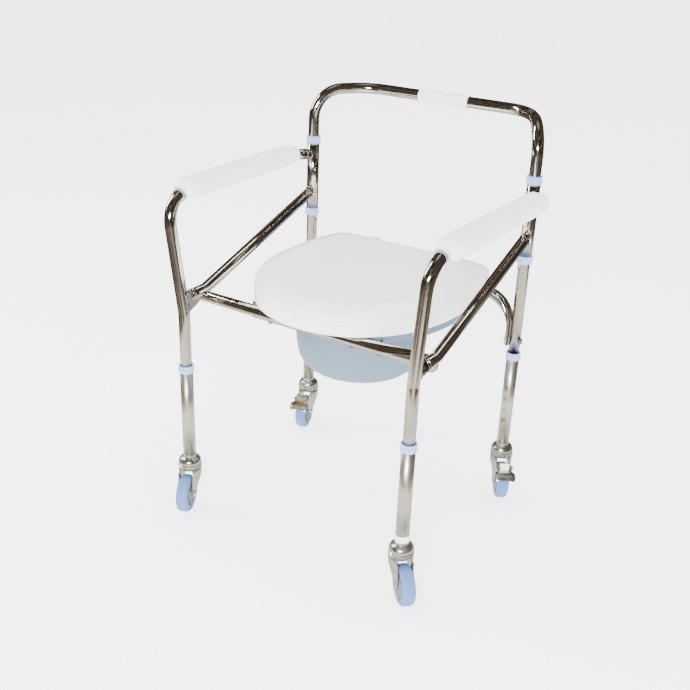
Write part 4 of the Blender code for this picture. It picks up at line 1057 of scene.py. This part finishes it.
def add_studio():
    bpy.ops.mesh.primitive_plane_add(size=60, location=(0, 0, 0))
    floor = bpy.context.object
    floor.name = "floor"
    white = Nodes("floor_white", 0.0, 0.7)
    white.colour(white.ramp(white.noise(0.4), [(0.3, (0.90, 0.90, 0.90)), (0.7, (0.92, 0.92, 0.92))]))
    white.shader.inputs["Emission Color"].default_value = (1, 1, 1, 1)
    white.shader.inputs["Emission Strength"].default_value = 2.2
    floor.data.materials.append(white.material)

    add_flag()
    add_world()
    add_light("key", (1.1, -2.9, 1.6), (0, 0, 0.4), (0.7, 0.5), 140)
    add_light("side", (-2.2, -0.6, 1.9), (0, 0, 0.5), (0.35, 1.6), 50, (1.0, 0.96, 0.90))
    add_light("top", (0, 0.3, 3.0), (0, 0, 0), (2.4, 2.4), 40, mirrored=False)


def azimuth_bands(tree, stops):
    """Colour by compass direction about the object's middle, so that upright tubes show streaks."""
    place = tree.nodes.new("ShaderNodeTexCoord").outputs["Generated"]
    centred = tree.nodes.new("ShaderNodeMapping")
    centred.inputs["Location"].default_value = (-0.5, -0.5, 0)
    tree.links.new(place, centred.inputs["Vector"])
    radial = tree.nodes.new("ShaderNodeTexGradient")
    radial.gradient_type = "RADIAL"
    tree.links.new(centred.outputs["Vector"], radial.inputs["Vector"])
    return colour_ramp(tree, radial.outputs["Color"], stops)


def blend_colours(tree, factor, first, second):
    """Mix of two colours, each a node's socket or a plain colour."""
    mix = tree.nodes.new("ShaderNodeMix")
    mix.data_type = "RGBA"
    factor_in, first_in, second_in = mix.inputs["Factor"], mix.inputs[6], mix.inputs[7]
    tree.links.new(factor, factor_in)
    for socket, value in ((first_in, first), (second_in, second)):
        if isinstance(value, tuple):
            socket.default_value = (*value, 1)
        else:
            tree.links.new(value, socket)
    return mix.outputs[2]


def add_flag():
    """Brown card on the floor that only reflections see: it gives the chrome its dark, warm streaks."""
    bpy.ops.mesh.primitive_plane_add(size=60, location=(0, 0, 0.0015))
    flag = bpy.context.object
    flag.name = "reflection_card"
    flag.visible_camera = False
    flag.visible_diffuse = False
    flag.visible_shadow = False
    flag.visible_transmission = False
    brown, gold = (0.020, 0.013, 0.008), (0.22, 0.14, 0.06)
    grey, pale = (0.20, 0.18, 0.15), (0.62, 0.60, 0.56)
    stops = [(0.0, brown), (0.10, brown), (0.13, gold), (0.16, brown), (0.215, brown), (0.225, pale),
             (0.235, brown), (0.275, brown), (0.29, gold), (0.305, brown), (0.325, grey), (0.342, pale),
             (0.351, gold), (0.360, grey), (0.385, pale), (0.40, grey), (0.43, brown), (0.50, brown),
             (0.53, gold), (0.56, brown), (0.66, brown), (0.70, pale), (0.73, brown), (0.84, brown),
             (0.87, gold), (0.90, brown), (1.0, brown)]
    card = Nodes("reflection_card", 0.0, 1.0)
    reach = card.tree.nodes.new("ShaderNodeVectorMath")
    reach.operation = "LENGTH"
    card.tree.links.new(card.place, reach.inputs[0])
    streaks = card.spread(reach.outputs["Value"], 0, 1, 0.72, 0.98)
    near = blend_colours(card.tree, streaks, (0.50, 0.48, 0.43), azimuth_bands(card.tree, stops))
    dark = card.spread(reach.outputs["Value"], 0, 0.8, 1.12, 1.45)
    card.colour(blend_colours(card.tree, dark, near, brown))
    flag.data.materials.append(card.material)


def add_world():
    """Even white light on matt surfaces; reflections see a dark warm room with a pale ceiling."""
    world = bpy.data.worlds.new("studio")
    world.use_nodes = True
    bpy.context.scene.world = world
    tree = world.node_tree
    room = tree.nodes["Background"]
    room.inputs["Strength"].default_value = 1.0
    split = tree.nodes.new("ShaderNodeSeparateXYZ")
    tree.links.new(tree.nodes.new("ShaderNodeTexCoord").outputs["Generated"], split.inputs["Vector"])
    walls = [(0.0, (0.03, 0.02, 0.012)), (0.20, (0.05, 0.033, 0.018)), (0.30, (0.30, 0.22, 0.13)),
             (0.36, (0.035, 0.024, 0.014)), (0.62, (0.025, 0.019, 0.014)), (0.70, (0.22, 0.17, 0.11)),
             (0.76, (0.03, 0.022, 0.015)), (0.93, (0.04, 0.03, 0.025)), (1.0, (0.50, 0.50, 0.50))]
    tree.links.new(colour_ramp(tree, split.outputs["Z"], walls), room.inputs["Color"])
    even = tree.nodes.new("ShaderNodeBackground")
    even.inputs["Color"].default_value = (1, 1, 1, 1)
    even.inputs["Strength"].default_value = 2.3
    mix = tree.nodes.new("ShaderNodeMixShader")
    tree.links.new(tree.nodes.new("ShaderNodeLightPath").outputs["Is Glossy Ray"], mix.inputs["Fac"])
    tree.links.new(even.outputs["Background"], mix.inputs[1])
    tree.links.new(room.outputs["Background"], mix.inputs[2])
    tree.links.new(mix.outputs["Shader"], tree.nodes["World Output"].inputs["Surface"])


add_tubes()
add_legs()
add_collars()
add_crossbars()
add_brackets()
add_fasteners()
add_pads()
add_sleeve()
add_carrier()
add_pail()
add_seat()
add_castors()
add_camera()
add_studio()
